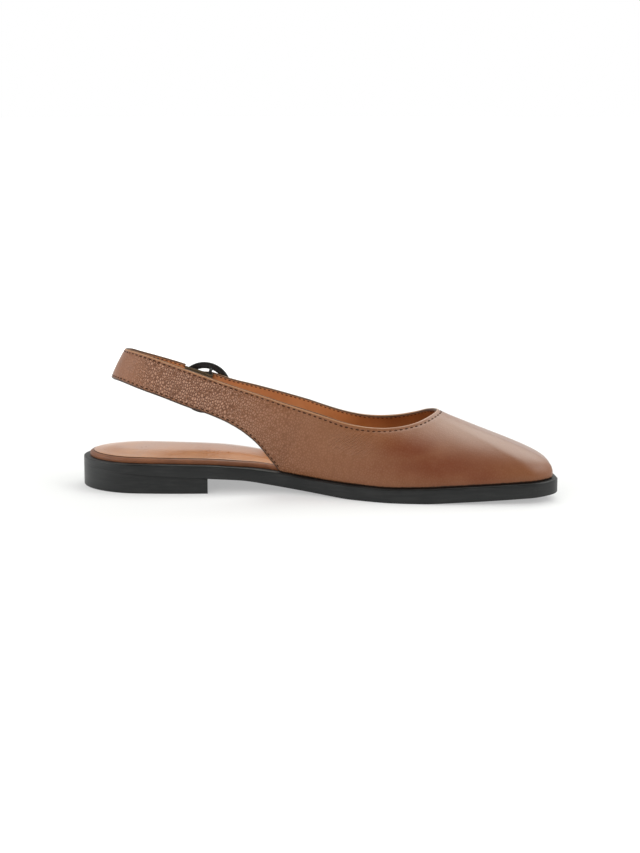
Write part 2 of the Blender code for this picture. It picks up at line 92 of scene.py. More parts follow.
class Track:
    """A smooth curve through the rows of a table, read at places along its first column."""

    def __init__(self, rows: Sequence[Sequence[float]], keep_flat: bool = False) -> None:
        """Works out the slope at each row.

        Args:
            rows: Place in the first column, values in the others.
            keep_flat: Whether the curve may not swing past its rows.
        """
        table = np.array(rows, float)
        self.knots = table[:, 0]
        self.values = table[:, 1:]
        steps = np.diff(self.knots)[:, None]
        grades = np.diff(self.values, axis=0) / steps
        before, after = grades[:-1], grades[1:]
        inner = (before * steps[1:] + after * steps[:-1]) / (steps[1:] + steps[:-1])
        if keep_flat:
            level = before * after <= 0
            total = np.where(level, 1.0, before + after)
            inner = np.where(level, 0.0, 2 * before * after / total)
        self.slopes = np.vstack([grades[:1], inner, grades[-1:]])

    @classmethod
    def through(cls, points: Sequence[Sequence[float]]) -> "Track":
        """A curve through points in space, read at distances along their chords.

        Args:
            points: The points in order.

        Returns:
            The curve.
        """
        points = np.array(points, float)
        chords = np.linalg.norm(np.diff(points, axis=0), axis=1)
        reach = np.concatenate([[0.0], np.cumsum(chords)])
        return cls(np.column_stack([reach, points]))

    def at(self, places: float | np.ndarray) -> np.ndarray:
        """Values of all columns.

        Args:
            places: One place or an array of places.

        Returns:
            The values, with the columns last.
        """
        places = np.clip(np.asarray(places, float), self.knots[0], self.knots[-1])
        index = np.clip(np.searchsorted(self.knots, places) - 1, 0, len(self.knots) - 2)
        width = self.knots[index + 1] - self.knots[index]
        part = ((places - self.knots[index]) / width)[..., None]
        width = width[..., None]
        rest = 1 - part
        start = (1 + 2 * part) * rest**2 * self.values[index]
        end = part**2 * (3 - 2 * part) * self.values[index + 1]
        bends = part * rest * width * (rest * self.slopes[index] - part * self.slopes[index + 1])
        return start + end + bends


def ease(part: float | np.ndarray) -> np.ndarray:
    """A soft step from 0 to 1."""
    part = np.clip(part, 0, 1)
    return part * part * (3 - 2 * part)


def bell(offset: np.ndarray, width: float) -> np.ndarray:
    """A soft bump that is 1 at no offset and fades within about twice the width."""
    return np.exp(-((offset / width) ** 2))


@dataclass
class Last:
    """Outline and side profile of the sole, from which every piece is set out."""

    length: float = 256.0
    # Shared by pieces: gap between solids, seam in the looks, the upper's wall and the ledge beside it
    gap: float = 0.3
    seam: float = 0.05
    wall: float = 1.8
    upper_ledge: float = 2.8
    heel_round: float = 33.0
    heel_fullness: float = 1.95
    toe_round: float = 15.0
    toe_fullness: float = 1.85
    steps: int = 150
    # Outline, whose front slants back from the tip on the inner side. Columns: along, outer, inner
    plan_rows: Rows = (
        (0, 27.6, -27.6),
        (28, 28.4, -28.4),
        (50, 28.6, -28.0),
        (72, 28.4, -26.0),
        (98, 27.4, -22.2),
        (120, 29.5, -25.5),
        (145, 35.3, -34.7),
        (168, 39.5, -42.6),
        (183, 39.3, -43.8),
        (200, 35.6, -43.8),
        (215, 31.0, -42.9),
        (228, 25.6, -41.6),
        (238, 19.4, -40.4),
        (245, 11.6, -39.6),
        (249.5, 2.0, -39.0),
        (252.6, -8.0, -38.7),
        (254.9, -18.0, -38.5),
        (256, -26.0, -38.3),
    )
    # Columns: along, underside, top
    side_rows: Rows = (
        (0, 12.8, 16.0),
        (40, 9.9, 15.7),
        (70, 8.1, 15.1),
        (88, 6.8, 13.6),
        (104, 4.5, 11.8),
        (120, 2.5, 9.6),
        (136, 0.9, 8.1),
        (149, 0.0, 7.5),
        (163, 0.0, 7.2),
        (184, 0.0, 7.7),
        (205, 1.0, 8.9),
        (230, 2.4, 10.2),
        (256, 4.1, 11.8),
    )

    def __post_init__(self) -> None:
        """Reads the tables and finds the frame's origin on the last."""
        self.plan = Track(self.plan_rows)
        self.side = Track(self.side_rows, keep_flat=True)
        outer, inner = self.rim(0, self.length, 0)
        across = np.concatenate([outer[:, 1], inner[:, 1]])
        self.origin = np.array([self.length / 2, (across.min() + across.max()) / 2, 0.0])

    def edge(self, along: np.ndarray, side: Side) -> np.ndarray:
        """Where the outline of the sole lies across.

        Args:
            along: Places along.
            side: The side of the foot.

        Returns:
            Across at each place.
        """
        outer, inner = self.plan.at(along).T
        tip = self.plan_rows[-1][1]
        if side is Side.OUTER:
            edge = outer
        else:
            edge = tip + (inner - tip) * self.cap(self.length - along, self.toe_round, self.toe_fullness)
        return edge * self.cap(along, self.heel_round, self.heel_fullness)

    @staticmethod
    def cap(distance: np.ndarray, reach: float, fullness: float) -> np.ndarray:
        """Share of the full width that is left this far from a rounded end."""
        missing = np.clip(1 - distance / reach, 0, 1)
        return (1 - missing**fullness) ** (1 / fullness)

    def spread(self, first: float, last: float, steps: int = 0) -> np.ndarray:
        """Places along, crowded towards both ends."""
        turn = np.linspace(0, math.pi, (steps or self.steps) + 1)
        return first + (last - first) * (1 - np.cos(turn)) / 2

    def rim(
        self,
        first: float,
        last: float,
        inset: float | np.ndarray,
        steps: int = 0,
        skew: float = 0.0,
    ) -> Layer:
        """Outer and inner side of the outline between two places.

        Args:
            first: Where the outline starts along.
            last: Where it ends along.
            inset: How far it is moved inwards, one value or one for each step.
            steps: Number of steps, or 0 for the usual number.
            skew: How far the outer side stops short of the inner side.

        Returns:
            Rows of along and across for the outer and the inner side.
        """
        sides = []
        for side in Side:
            along = self.spread(first, last - skew * (side is Side.OUTER), steps)
            inset = np.broadcast_to(inset, along.shape)
            edge = np.column_stack([along, self.edge(along, side)])
            run = np.gradient(edge, axis=0)
            if first == 0:
                run[0] = (0, side.value)
            if last == self.length:
                run[-1] = (0, -side.value)
            inward = side.value * np.column_stack([run[:, 1], -run[:, 0]])
            inward /= np.linalg.norm(inward, axis=1)[:, None]
            sides.append(edge + inset[:, None] * inward)
        return sides[0], sides[1]

    def underside(self, along: np.ndarray) -> np.ndarray:
        """Height of the sole's underside."""
        return self.side.at(along)[:, 0]

    def top(self, along: np.ndarray) -> np.ndarray:
        """Height of the sole's top."""
        return self.side.at(along)[:, 1]

    def layer(self, sides: Layer, height: Height) -> Layer:
        """Both sides of an outline as points in the frame, at a height worked out from along."""
        outer, inner = (self.place(np.column_stack([edge, height(edge[:, 0])])) for edge in sides)
        return outer, inner

    def place(self, points: np.ndarray) -> np.ndarray:
        """Points of the last in the metres of the frame."""
        return (np.asarray(points, float) - self.origin) * MM


def raised(height: Height, by: float) -> Height:
    """The same height function, lifted."""
    return lambda along: height(along) + by


class Shade:
    """A node's output that takes part in arithmetic."""

    def __init__(self, sheet: "NodeSheet", socket: bpy.types.NodeSocket) -> None:
        """Keeps the socket and the sheet that it is on."""
        self.sheet = sheet
        self.socket = socket

    def _with(self, operation: str, first: "Value", second: "Value") -> "Shade":
        """One Math node on two values."""
        return self.sheet.node("ShaderNodeMath", {"operation": operation}, {0: first, 1: second})

    def __add__(self, other: "Value") -> "Shade":
        """Sum."""
        return self._with("ADD", self, other)

    def __sub__(self, other: "Value") -> "Shade":
        """Difference."""
        return self._with("SUBTRACT", self, other)

    def __rsub__(self, other: "Value") -> "Shade":
        """Difference from a number."""
        return self._with("SUBTRACT", other, self)

    def __mul__(self, other: "Value") -> "Shade":
        """Product."""
        return self._with("MULTIPLY", self, other)

    __radd__ = __add__
    __rmul__ = __mul__


Value = Shade | float | int | str | Sequence[float] | bpy.types.ID


class NodeSheet:
    """A node tree with short ways to add nodes to it."""

    def __init__(self, tree: bpy.types.NodeTree) -> None:
        """Starts on an existing tree."""
        self.tree = tree

    def node(
        self,
        kind: str,
        settings: Mapping[str, object] | None = None,
        inputs: Mapping[str | int, Value] | None = None,
        output: str | int = 0,
    ) -> Shade:
        """Adds a node.

        Args:
            kind: The node's type.
            settings: Its own settings, set first.
            inputs: Values or links of its sockets, by name or number.
            output: Name or number of the output to hand back.

        Returns:
            The chosen output.
        """
        made = self.tree.nodes.new(kind)
        for name, value in (settings or {}).items():
            setattr(made, name, value)
        for name, value in (inputs or {}).items():
            self.feed(made.inputs[name], value)
        return Shade(self, made.outputs[output]) if made.outputs else Shade(self, None)

    def feed(self, socket: bpy.types.NodeSocket, value: Value) -> None:
        """Links a socket or sets its value.

        Args:
            socket: The socket.
            value: An output to link, or a plain value. A colour comes without its alpha.
        """
        if isinstance(value, Shade):
            self.tree.links.new(value.socket, socket)
            return
        if socket.type == "RGBA":
            value = (*value, 1.0)
        socket.default_value = value

    def coords(self) -> Shade:
        """Object coordinates."""
        return self.node("ShaderNodeTexCoord", output="Object")

    def attribute(self, name: str) -> Shade:
        """A number that the piece holds at each point."""
        return self.node("ShaderNodeAttribute", {"attribute_name": name}, output="Fac")

    def frayed(self, name: str, where: Shade, fray: Pair) -> Shade:
        """A number that the piece holds, with noise over it.

        Args:
            name: Name of the attribute.
            where: Coordinates of the noise.
            fray: Size of the noise's spots in millimetres, and its amount.

        Returns:
            The uneven number.
        """
        size, amount = fray
        return self.attribute(name) + (self.noise(where, size) - NOISE_MIDDLE) * amount

    def turned(self, where: Shade, turn: Triple, stretch: Triple = (1.0, 1.0, 1.0)) -> Shade:
        """Coordinates turned by degrees and stretched."""
        inputs = {"Vector": where, "Rotation": [math.radians(angle) for angle in turn], "Scale": stretch}
        return self.node("ShaderNodeMapping", {"vector_type": "TEXTURE"}, inputs)

    def warped(self, where: Shade, size: float, amount: float) -> Shade:
        """Coordinates pushed about by noise.

        Args:
            where: The coordinates.
            size: Size of the noise's spots in millimetres.
            amount: How far they are pushed, in millimetres.

        Returns:
            The uneven coordinates.
        """
        inputs = {"Vector": where, "Scale": 1 / (size * MM), "Detail": 1.0}
        push = self.node("ShaderNodeTexNoise", None, inputs, "Color")
        inputs = {0: push, 1: (amount * MM,) * 3, 2: where}
        return self.node("ShaderNodeVectorMath", {"operation": "MULTIPLY_ADD"}, inputs)

    def noise(self, where: Shade, size: float, detail: float = 2.0, rough: float = 0.5) -> Shade:
        """Soft noise with spots of a size in millimetres."""
        inputs = {"Vector": where, "Scale": 1 / (size * MM), "Detail": detail, "Roughness": rough}
        return self.node("ShaderNodeTexNoise", None, inputs)

    def cells(self, where: Shade, size: float, scatter: float) -> Shade:
        """Distance from the border of cells of a size in millimetres, scattered by a share."""
        inputs = {"Vector": where, "Scale": 1 / (size * MM), "Randomness": scatter}
        return self.node("ShaderNodeTexVoronoi", {"feature": "DISTANCE_TO_EDGE"}, inputs, "Distance")

    def bands(
        self,
        where: Shade,
        direction: str,
        pitch: float,
        bends: Mapping[str, float] | None = None,
    ) -> Shade:
        """Even waves.

        Args:
            where: Coordinates of the waves.
            direction: The axis that they run along.
            pitch: Their pitch in the units of the coordinates.
            bends: Sockets of the wave texture that make them uneven.

        Returns:
            The height of the waves, from 0 to 1.
        """
        settings = {"wave_type": "BANDS", "bands_direction": direction}
        inputs = {"Vector": where, "Scale": BAND_PITCH / pitch, **(bends or {})}
        return self.node("ShaderNodeTexWave", settings, inputs, "Fac")

    def step(self, value: Shade, low: float, high: float) -> Shade:
        """A soft step from 0 at low to 1 at high."""
        inputs = {"Value": value, "From Min": low, "From Max": high}
        return self.node("ShaderNodeMapRange", {"interpolation_type": "SMOOTHSTEP"}, inputs)

    def blend(self, factor: Value, first: Value, second: Value) -> Shade:
        """A mix of two colours, which are sockets 6 and 7 of the node, with the colour as output 2."""
        return self.node("ShaderNodeMix", {"data_type": "RGBA"}, {0: factor, 6: first, 7: second}, 2)

    def bump(self, height: Shade, depth: float = 1.0) -> Shade:
        """A bumpy normal, with the depth of height 1 in millimetres."""
        return self.node("ShaderNodeBump", None, {"Height": height, "Distance": depth * MM})


class Surface(NodeSheet):
    """A new material with one Principled shader."""

    def __init__(self, name: str) -> None:
        """Makes the material.

        Args:
            name: Name of the material.
        """
        self.material = bpy.data.materials.new(name)
        self.material.use_nodes = True
        super().__init__(self.material.node_tree)
        self.shader = self.tree.nodes["Principled BSDF"]

    def dress(self, sockets: Mapping[str, Value]) -> Material:
        """Sets sockets of the shader.

        Args:
            sockets: Values or links by the names of the sockets.

        Returns:
            The material.
        """
        for name, value in sockets.items():
            self.feed(self.shader.inputs[name], value)
        return self.material


@dataclass(frozen=True)
class UpperLeather:
    """Brown leather: pebbled strap and quarters, smooth polished vamp, painted shade and highlights.

    A reach says where a soft step starts and ends, a share how much of a colour is laid on, and a
    detail how many octaves a noise has and how rough they are.
    """

    name: str = "upper_leather"
    brown: Colour = (0.198, 0.071, 0.023)
    # Painted shade: darker, redder leather in patches on the vamp's side
    painted_shade_brown: Colour = (0.140, 0.029, 0.004)
    pale: Colour = (0.280, 0.122, 0.058)
    # Pebble valleys: darker partly by the grain's own tone, partly as painted shade
    valley: Colour = (0.075, 0.026, 0.011)
    # Painted highlight on the pebbles' crowns
    crown: Colour = (0.475, 0.255, 0.168)
    # Painted highlight along the folded edges
    folded: Colour = (0.410, 0.215, 0.105)
    rim: Colour = (0.040, 0.018, 0.010)
    # Dark seam line above the sole, partly painted shade of the joint; also painted shade on the straps'
    # lower edges
    seam: Colour = (0.016, 0.009, 0.006)
    mottle_size: float = 9.0
    mottle_detail: float = 3.0
    mottle_middle: float = 0.42
    mottle_share: float = 0.45
    mottle_roughness: float = 0.10
    pebble_size: float = 1.38
    pebble_scatter: float = 0.78
    pebble_depth: float = 0.50
    pebble_turn: Triple = (0.0, 20.0, 0.0)
    pebble_stretch: Triple = (0.85, 1.0, 1.2)
    # Noise that bends the pebbles: size of its spots, amount
    pebble_warp: Pair = (1.1, 0.45)
    dome_reach: Pair = (0.02, 0.34)
    # Where the darker pebble valleys lie, partly painted shade, and how much
    valley_reach: Pair = (0.0, 0.13)
    valley_share: float = 0.82
    # Where the painted highlight on the pebble crowns lies, and how much
    crown_reach: Pair = (0.04, 0.24)
    crown_share: float = 0.80
    pore_size: float = 0.42
    pore_detail: Pair = (2.0, 0.6)
    pore_depth: float = 0.06
    wrinkle_pitch: float = 1.4
    wrinkle_depth: float = 0.36
    wrinkle_turn: Triple = (0.0, 55.0, 0.0)
    # Unevenness of the wrinkles: distortion, detail, scale of the detail
    wrinkle_bends: Triple = (1.6, 2.0, 0.8)
    # Painted highlight along the wrinkle lines
    wrinkle_share: float = 0.30
    # Where the painted highlight on the folded edges lies, and how much
    fold_highlight_reach: Pair = (0.0, 0.12)
    fold_highlight_share: float = 0.75
    rim_start: Pair = (-0.80, -0.66)
    rim_end: Pair = (-0.30, -0.16)
    rim_share: float = 0.9
    rim_roughness: float = 0.40
    # Dark seam: partly painted shade of the joint with the sole, and painted shade on the straps' lower
    # edges
    seam_reach: Pair = (0.60, 1.30)
    seam_share: float = 0.92
    # Noise that frays the seam above the sole: size of its spots, amount
    seam_fray: Pair = (1.3, 0.8)
    roughness_pebbled: float = 0.48
    roughness_smooth: float = 0.44
    coat_pebbled: float = 0.20
    coat_polished: float = 0.90
    coat_least: float = 0.04
    coat_roughness: float = 0.50
    gloss: float = 0.45

    def make(self) -> Material:
        """Builds the material from the piece's own attributes.

        Returns:
            The material.
        """
        sheet = Surface(self.name)
        where = sheet.coords()
        pebbled = sheet.attribute("pebble")
        mottle = sheet.noise(where, self.mottle_size, self.mottle_detail)
        around = sheet.turned(sheet.warped(where, *self.pebble_warp), self.pebble_turn, self.pebble_stretch)
        border = sheet.cells(around, self.pebble_size, self.pebble_scatter)
        fine = sheet.noise(where, self.pore_size, *self.pore_detail)
        # Distance from the top edge, which places the painted edge highlight and the dark rim
        edge = sheet.attribute("edge")
        cut = sheet.step(edge, *self.rim_start) * (1 - sheet.step(edge, *self.rim_end))
        sewn = 1 - sheet.step(sheet.frayed("feather", where, self.seam_fray), *self.seam_reach)
        bends = dict(zip(("Distortion", "Detail", "Detail Scale"), self.wrinkle_bends))
        lines = sheet.bands(sheet.turned(where, self.wrinkle_turn), "X", self.wrinkle_pitch * MM, bends)
        wrinkled = sheet.attribute("wrinkle") * lines
        # Painted shade patches on the vamp's side
        colour = sheet.blend(sheet.attribute("shade_patch"), self.brown, self.painted_shade_brown)
        for share, laid in (
            ((mottle - self.mottle_middle) * self.mottle_share, self.pale),
            # Darker pebble valleys, partly painted shade
            (pebbled * (1 - sheet.step(border, *self.valley_reach)) * self.valley_share, self.valley),
            # Painted highlight on the pebble crowns
            (pebbled * sheet.step(border, *self.crown_reach) * self.crown_share, self.crown),
            # Painted highlight on the folded edges
            ((1 - sheet.step(edge, *self.fold_highlight_reach)) * self.fold_highlight_share, self.folded),
            (cut * self.rim_share, self.rim),
            # Dark seam above the sole, partly painted shade, and painted shade on the straps' lower edges
            (sewn * self.seam_share, self.seam),
            # Painted highlight on the wrinkle lines
            (wrinkled * self.wrinkle_share, self.pale),
        ):
            colour = sheet.blend(share, colour, laid)
        rough = self.roughness_smooth + pebbled * (self.roughness_pebbled - self.roughness_smooth)
        rough = rough + (mottle - NOISE_MIDDLE) * self.mottle_roughness + cut * self.rim_roughness
        dome = sheet.step(border, *self.dome_reach)
        relief = dome * pebbled * self.pebble_depth + fine * self.pore_depth + wrinkled * self.wrinkle_depth
        polished = sheet.attribute("polish") * self.coat_polished
        return sheet.dress(
            {
                "Base Color": colour,
                "Roughness": rough,
                "Normal": sheet.bump(relief),
                "Coat Weight": pebbled * self.coat_pebbled + polished + self.coat_least,
                "Coat Roughness": self.coat_roughness,
                "Specular IOR Level": self.gloss,
            }
        )


@dataclass(frozen=True)
class SmoothLeather:
    """Plain dyed leather for lining, sock and footbed."""

    name: str
    colour: Colour
    shade: Colour
    roughness: float
    coat: float = 0.0
    coat_roughness: float = 0.35
    pore_size: float = 0.45
    pore_detail: Pair = (3.0, 0.65)
    pore_depth: float = 0.05
    pore_share: float = 0.16
    pore_roughness: float = 0.08
    cloud_size: float = 14.0
    cloud_detail: Pair = (4.0, 0.6)
    cloud_depth: float = 0.10
    cloud_reach: Pair = (0.30, 0.72)
    cloud_roughness: float = 0.16
    # Dark line at the seam attribute: painted shade at the sock's edge, partly painted shade at the
    # footbed's joint with the sole
    seam: Colour = (0.030, 0.014, 0.008)
    seam_reach: Pair = (0.45, 0.75)
    seam_share: float = 0.95
    seam_fray: Pair = (1.5, 0.7)
    seam_roughness: float = 0.5

    def make(self) -> Material:
        """Builds the material, with a dark line of mostly painted shade where the seam attribute is 1.

        Returns:
            The material.
        """
        sheet = Surface(self.name)
        where = sheet.coords()
        cloud = sheet.noise(where, self.cloud_size, *self.cloud_detail)
        fine = sheet.noise(where, self.pore_size, *self.pore_detail)
        sewn = sheet.step(sheet.frayed("seam", where, self.seam_fray), *self.seam_reach)
        colour = sheet.blend(sheet.step(cloud, *self.cloud_reach), self.shade, self.colour)
        colour = sheet.blend((1 - fine) * self.pore_share, colour, self.shade)
        colour = sheet.blend(sewn * self.seam_share, colour, self.seam)
        rough = self.roughness + (cloud - NOISE_MIDDLE) * self.cloud_roughness
        rough = rough + (fine - NOISE_MIDDLE) * self.pore_roughness + sewn * self.seam_roughness
        return sheet.dress(
            {
                "Base Color": colour,
                "Roughness": rough,
                "Normal": sheet.bump(fine * self.pore_depth + cloud * self.cloud_depth),
                "Coat Weight": (1 - sewn) * self.coat,
                "Coat Roughness": self.coat_roughness,
            }
        )


@dataclass(frozen=True)
class SatinRubber:
    """Black moulded rubber with a faint brushed streak along the sole's side."""

    name: str = "black_rubber"
    black: Colour = (0.0062, 0.0070, 0.0072)
    dusty: Colour = (0.0145, 0.0152, 0.0152)
    roughness: float = 0.40
    gloss: float = 0.40
    streak_size: float = 1.6
    streak_detail: Pair = (3.0, 0.6)
    streak_stretch: Triple = (9.0, 9.0, 0.7)
    streak_share: float = 0.6
    streak_depth: float = 0.03
    streak_roughness: float = 0.16
    cloud_size: float = 12.0
    cloud_detail: float = 3.0
    cloud_roughness: float = 0.12
    dust_reach: Pair = (0.42, 0.68)
    pore_size: float = 0.35
    pore_depth: float = 0.02

    def make(self) -> Material:
        """Builds the material.

        Returns:
            The material.
        """
        sheet = Surface(self.name)
        where = sheet.coords()
        brushed = sheet.turned(where, (0, 0, 0), self.streak_stretch)
        streak = sheet.noise(brushed, self.streak_size, *self.streak_detail)
        cloud = sheet.noise(where, self.cloud_size, self.cloud_detail)
        fine = sheet.noise(where, self.pore_size)
        dust = sheet.step(streak * self.streak_share + cloud * (1 - self.streak_share), *self.dust_reach)
        rough = self.roughness + (streak - NOISE_MIDDLE) * self.streak_roughness
        return sheet.dress(
            {
                "Base Color": sheet.blend(dust, self.black, self.dusty),
                "Roughness": rough + (cloud - NOISE_MIDDLE) * self.cloud_roughness,
                "Normal": sheet.bump(fine * self.pore_depth + streak * self.streak_depth),
                "Specular IOR Level": self.gloss,
            }
        )


@dataclass(frozen=True)
class TreadRubber:
    """Underside of the sole: fine rounded cross ribs on black rubber."""

    name: str = "tread_rubber"
    black: Colour = (0.012, 0.012, 0.013)
    worn: Colour = (0.035, 0.034, 0.033)
    pitch: float = 3.2
    depth: float = 0.35
    roughness: float = 0.55
    cloud_size: float = 10.0
    cloud_detail: float = 3.0
    cloud_roughness: float = 0.2

    def make(self) -> Material:
        """Builds the material.

        Returns:
            The material.
        """
        sheet = Surface(self.name)
        where = sheet.coords()
        ribs = sheet.bands(where, "DIAGONAL", self.pitch * MM)
        cloud = sheet.noise(where, self.cloud_size, self.cloud_detail)
        return sheet.dress(
            {
                "Base Color": sheet.blend(ribs * cloud, self.black, self.worn),
                "Roughness": self.roughness + (cloud - NOISE_MIDDLE) * self.cloud_roughness,
                "Normal": sheet.bump(ribs, self.depth),
            }
        )


@dataclass(frozen=True)
class BlackEnamel:
    """Glossy black enamel on metal."""

    name: str = "black_enamel"
    black: Colour = (0.010, 0.010, 0.010)
    rubbed: Colour = (0.022, 0.021, 0.020)
    roughness: float = 0.36
    gloss: float = 0.30
    cloud_size: float = 4.0
    cloud_detail: float = 3.0
    cloud_reach: Pair = (0.45, 0.75)
    cloud_roughness: float = 0.12
    pit_size: float = 0.6
    pit_depth: float = 0.02

    def make(self) -> Material:
        """Builds the material.

        Returns:
            The material.
        """
        sheet = Surface(self.name)
        where = sheet.coords()
        cloud = sheet.noise(where, self.cloud_size, self.cloud_detail)
        return sheet.dress(
            {
                "Base Color": sheet.blend(sheet.step(cloud, *self.cloud_reach), self.black, self.rubbed),
                "Roughness": self.roughness + cloud * self.cloud_roughness,
                "Normal": sheet.bump(sheet.noise(where, self.pit_size), self.pit_depth),
                "Specular IOR Level": self.gloss,
            }
        )


@dataclass(frozen=True)
class WovenElastic:
    """Olive brown elastic with lengthwise cords and a fine cross weave."""

    name: str = "woven_elastic"
    olive: Colour = (0.105, 0.075, 0.036)
    dark: Colour = (0.028, 0.019, 0.010)
    roughness: float = 0.85
    cord_pitch: float = 1.25
    cord_share: float = 0.6
    weft_pitch: float = 0.85
    unevenness: float = 0.6
    depth: float = 0.22
    colour_reach: Pair = (0.15, 0.80)

    def make(self) -> Material:
        """Builds the material on the piece's own weave coordinates.

        Returns:
            The material.
        """
        sheet = Surface(self.name)
        weave = sheet.node("ShaderNodeAttribute", {"attribute_name": "weave"}, output="Vector")
        bends = {"Distortion": self.unevenness}
        cords = sheet.bands(weave, "Y", self.cord_pitch, bends)
        weft = sheet.bands(weave, "X", self.weft_pitch, bends)
        relief = cords * self.cord_share + weft * (1 - self.cord_share)
        return sheet.dress(
            {
                "Base Color": sheet.blend(sheet.step(relief, *self.colour_reach), self.dark, self.olive),
                "Roughness": self.roughness,
                "Normal": sheet.bump(relief, self.depth),
            }
        )


@dataclass(frozen=True)
class SewingThread:
    """Waxed dark brown thread."""

    name: str = "sewing_thread"
    brown: Colour = (0.030, 0.012, 0.006)
    light: Colour = (0.062, 0.026, 0.013)
    roughness: float = 0.75
    gloss: float = 0.15
    twist_size: float = 0.35
    twist_depth: float = 0.08

    def make(self) -> Material:
        """Builds the material.

        Returns:
            The material.
        """
        sheet = Surface(self.name)
        twist = sheet.noise(sheet.coords(), self.twist_size, 1.0)
        return sheet.dress(
            {
                "Base Color": sheet.blend(twist, self.brown, self.light),
                "Roughness": self.roughness,
                "Normal": sheet.bump(twist, self.twist_depth),
                "Specular IOR Level": self.gloss,
            }
        )


def new_piece(name: str, mesh: Mesh, materials: Sequence[Material]) -> Piece:
    """Adds an object to the scene.

    Args:
        name: Name of the object.
        mesh: Its mesh.
        materials: Materials for the mesh, in order.

    Returns:
        The object.
    """
    piece = bpy.data.objects.new(name, mesh)
    bpy.context.scene.collection.objects.link(piece)
    for material in materials:
        mesh.materials.append(material)
    return piece


def pour(work: bmesh.types.BMesh, mesh: Mesh) -> None:
    """Turns the faces of a working mesh outwards and puts it into a mesh.

    Args:
        work: The working mesh, which is freed.
        mesh: The mesh that takes it.
    """
    bmesh.ops.recalc_face_normals(work, faces=work.faces)
    work.to_mesh(mesh)
    work.free()


def mesh_of(name: str, points: np.ndarray, faces: Sequence[Sequence[int]]) -> Mesh:
    """A smooth mesh with its faces turned outwards.

    Args:
        name: Name of the mesh.
        points: Its points in the frame.
        faces: Corners of its faces.

    Returns:
        The mesh.
    """
    mesh = bpy.data.meshes.new(name)
    mesh.from_pydata(np.asarray(points).reshape(-1, 3).tolist(), [], faces)
    work = bmesh.new()
    work.from_mesh(mesh)
    pour(work, mesh)
    mesh.shade_smooth()
    return mesh


def grid_faces(count: int, size: int, closed: bool = False) -> list[tuple[int, ...]]:
    """Faces between rings of points that follow one another.

    Args:
        count: Number of rings.
        size: Points in a ring.
        closed: Whether the last ring meets the first.

    Returns:
        Corners of the faces, ring by ring.
    """
    ring = np.arange(size)
    step = np.roll(ring, -1)
    start = np.arange(count if closed else count - 1)[:, None] * size
    after = (start + size) % (count * size)
    quads = np.stack([start + ring, after + ring, after + step, start + step], axis=2)
    return [tuple(quad) for quad in quads.reshape(-1, 4).tolist()]


def keep_values(mesh: Mesh, name: str, values: np.ndarray) -> None:
    """Stores a number at each point of a mesh."""
    layer = mesh.attributes.new(name, "FLOAT", "POINT")
    layer.data.foreach_set("value", np.asarray(values, np.float32).ravel())


def keep_vectors(mesh: Mesh, name: str, values: np.ndarray) -> None:
    """Stores a vector at each point of a mesh."""
    layer = mesh.attributes.new(name, "FLOAT_VECTOR", "POINT")
    layer.data.foreach_set("vector", np.asarray(values, np.float32).ravel())


def make_plain(piece: Piece) -> None:
    """Turns a piece's modifiers into its own mesh.

    Args:
        piece: The piece.
    """
    graph = bpy.context.evaluated_depsgraph_get()
    result = piece.evaluated_get(graph)
    mesh = bpy.data.meshes.new_from_object(result, preserve_all_data_layers=True, depsgraph=graph)
    mesh.name = piece.data.name
    piece.modifiers.clear()
    piece.data = mesh


def combine(piece: Piece, tool: Piece, operation: str) -> None:
    """Joins a second piece to a piece or cuts it out.

    Args:
        piece: The piece that stays.
        tool: The second piece, which is removed.
        operation: The Boolean operation.
    """
    change = piece.modifiers.new("combine", "BOOLEAN")
    change.operation = operation
    change.object = tool
    make_plain(piece)
    bpy.data.objects.remove(tool)


def seat(piece: Piece, slot: Slot | None, *nodes: str) -> None:
    """Hands a finished piece to the frame.

    Args:
        piece: The piece.
        slot: The record's slot of its finish, if it has one; not used.
        nodes: The solids that it stands for.
    """
    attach(piece, BODY)
    if nodes:
        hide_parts(*nodes)
    LOG.info("%s: %d faces", piece.name, len(piece.data.polygons))


def outline_mesh(name: str, layers: Sequence[Layer]) -> Mesh:
    """A closed mesh through outlines stacked from the bottom to the top.

    Args:
        name: Name of the mesh.
        layers: Outer and inner side of each outline. Sides that meet at an end share that point.

    Returns:
        The mesh, with its faces outwards.
    """
    work = bmesh.new()
    rings = []
    for outer, inner in layers:
        outer_points = [work.verts.new(point) for point in outer]
        inner_points = [work.verts.new(point) for point in inner]
        for end in (0, -1):
            if np.allclose(outer[end], inner[end], atol=TOUCH):
                work.verts.remove(inner_points[end])
                inner_points[end] = outer_points[end]
        rings.append((outer_points, inner_points))

    def face(*corners: bmesh.types.BMVert) -> None:
        """Adds a face through its different corners."""
        work.faces.new(list(dict.fromkeys(corners)))

    for below, above in zip(rings, rings[1:]):
        for low, high in zip(below, above):
            for i in range(len(low) - 1):
                face(low[i], low[i + 1], high[i + 1], high[i])
        for end in (0, -1):
            if below[0][end] is not below[1][end]:
                face(below[0][end], below[1][end], above[1][end], above[0][end])
    for outer, inner in (rings[0], rings[-1]):
        for i in range(len(outer) - 1):
            face(outer[i], outer[i + 1], inner[i + 1], inner[i])
    mesh = bpy.data.meshes.new(name)
    pour(work, mesh)
    mesh.shade_smooth()
    mesh.set_sharp_from_angle(angle=math.radians(SHARP))
    return mesh


@dataclass(frozen=True)
class Edge:
    """Rounded edge of a slab: its height and its radius along the shoe."""

    height: Height
    radius: Height

    def lifted(self, share: float) -> Height:
        """Height of the edge moved by a share of its radius."""
        return lambda along: self.height(along) + share * self.radius(along)


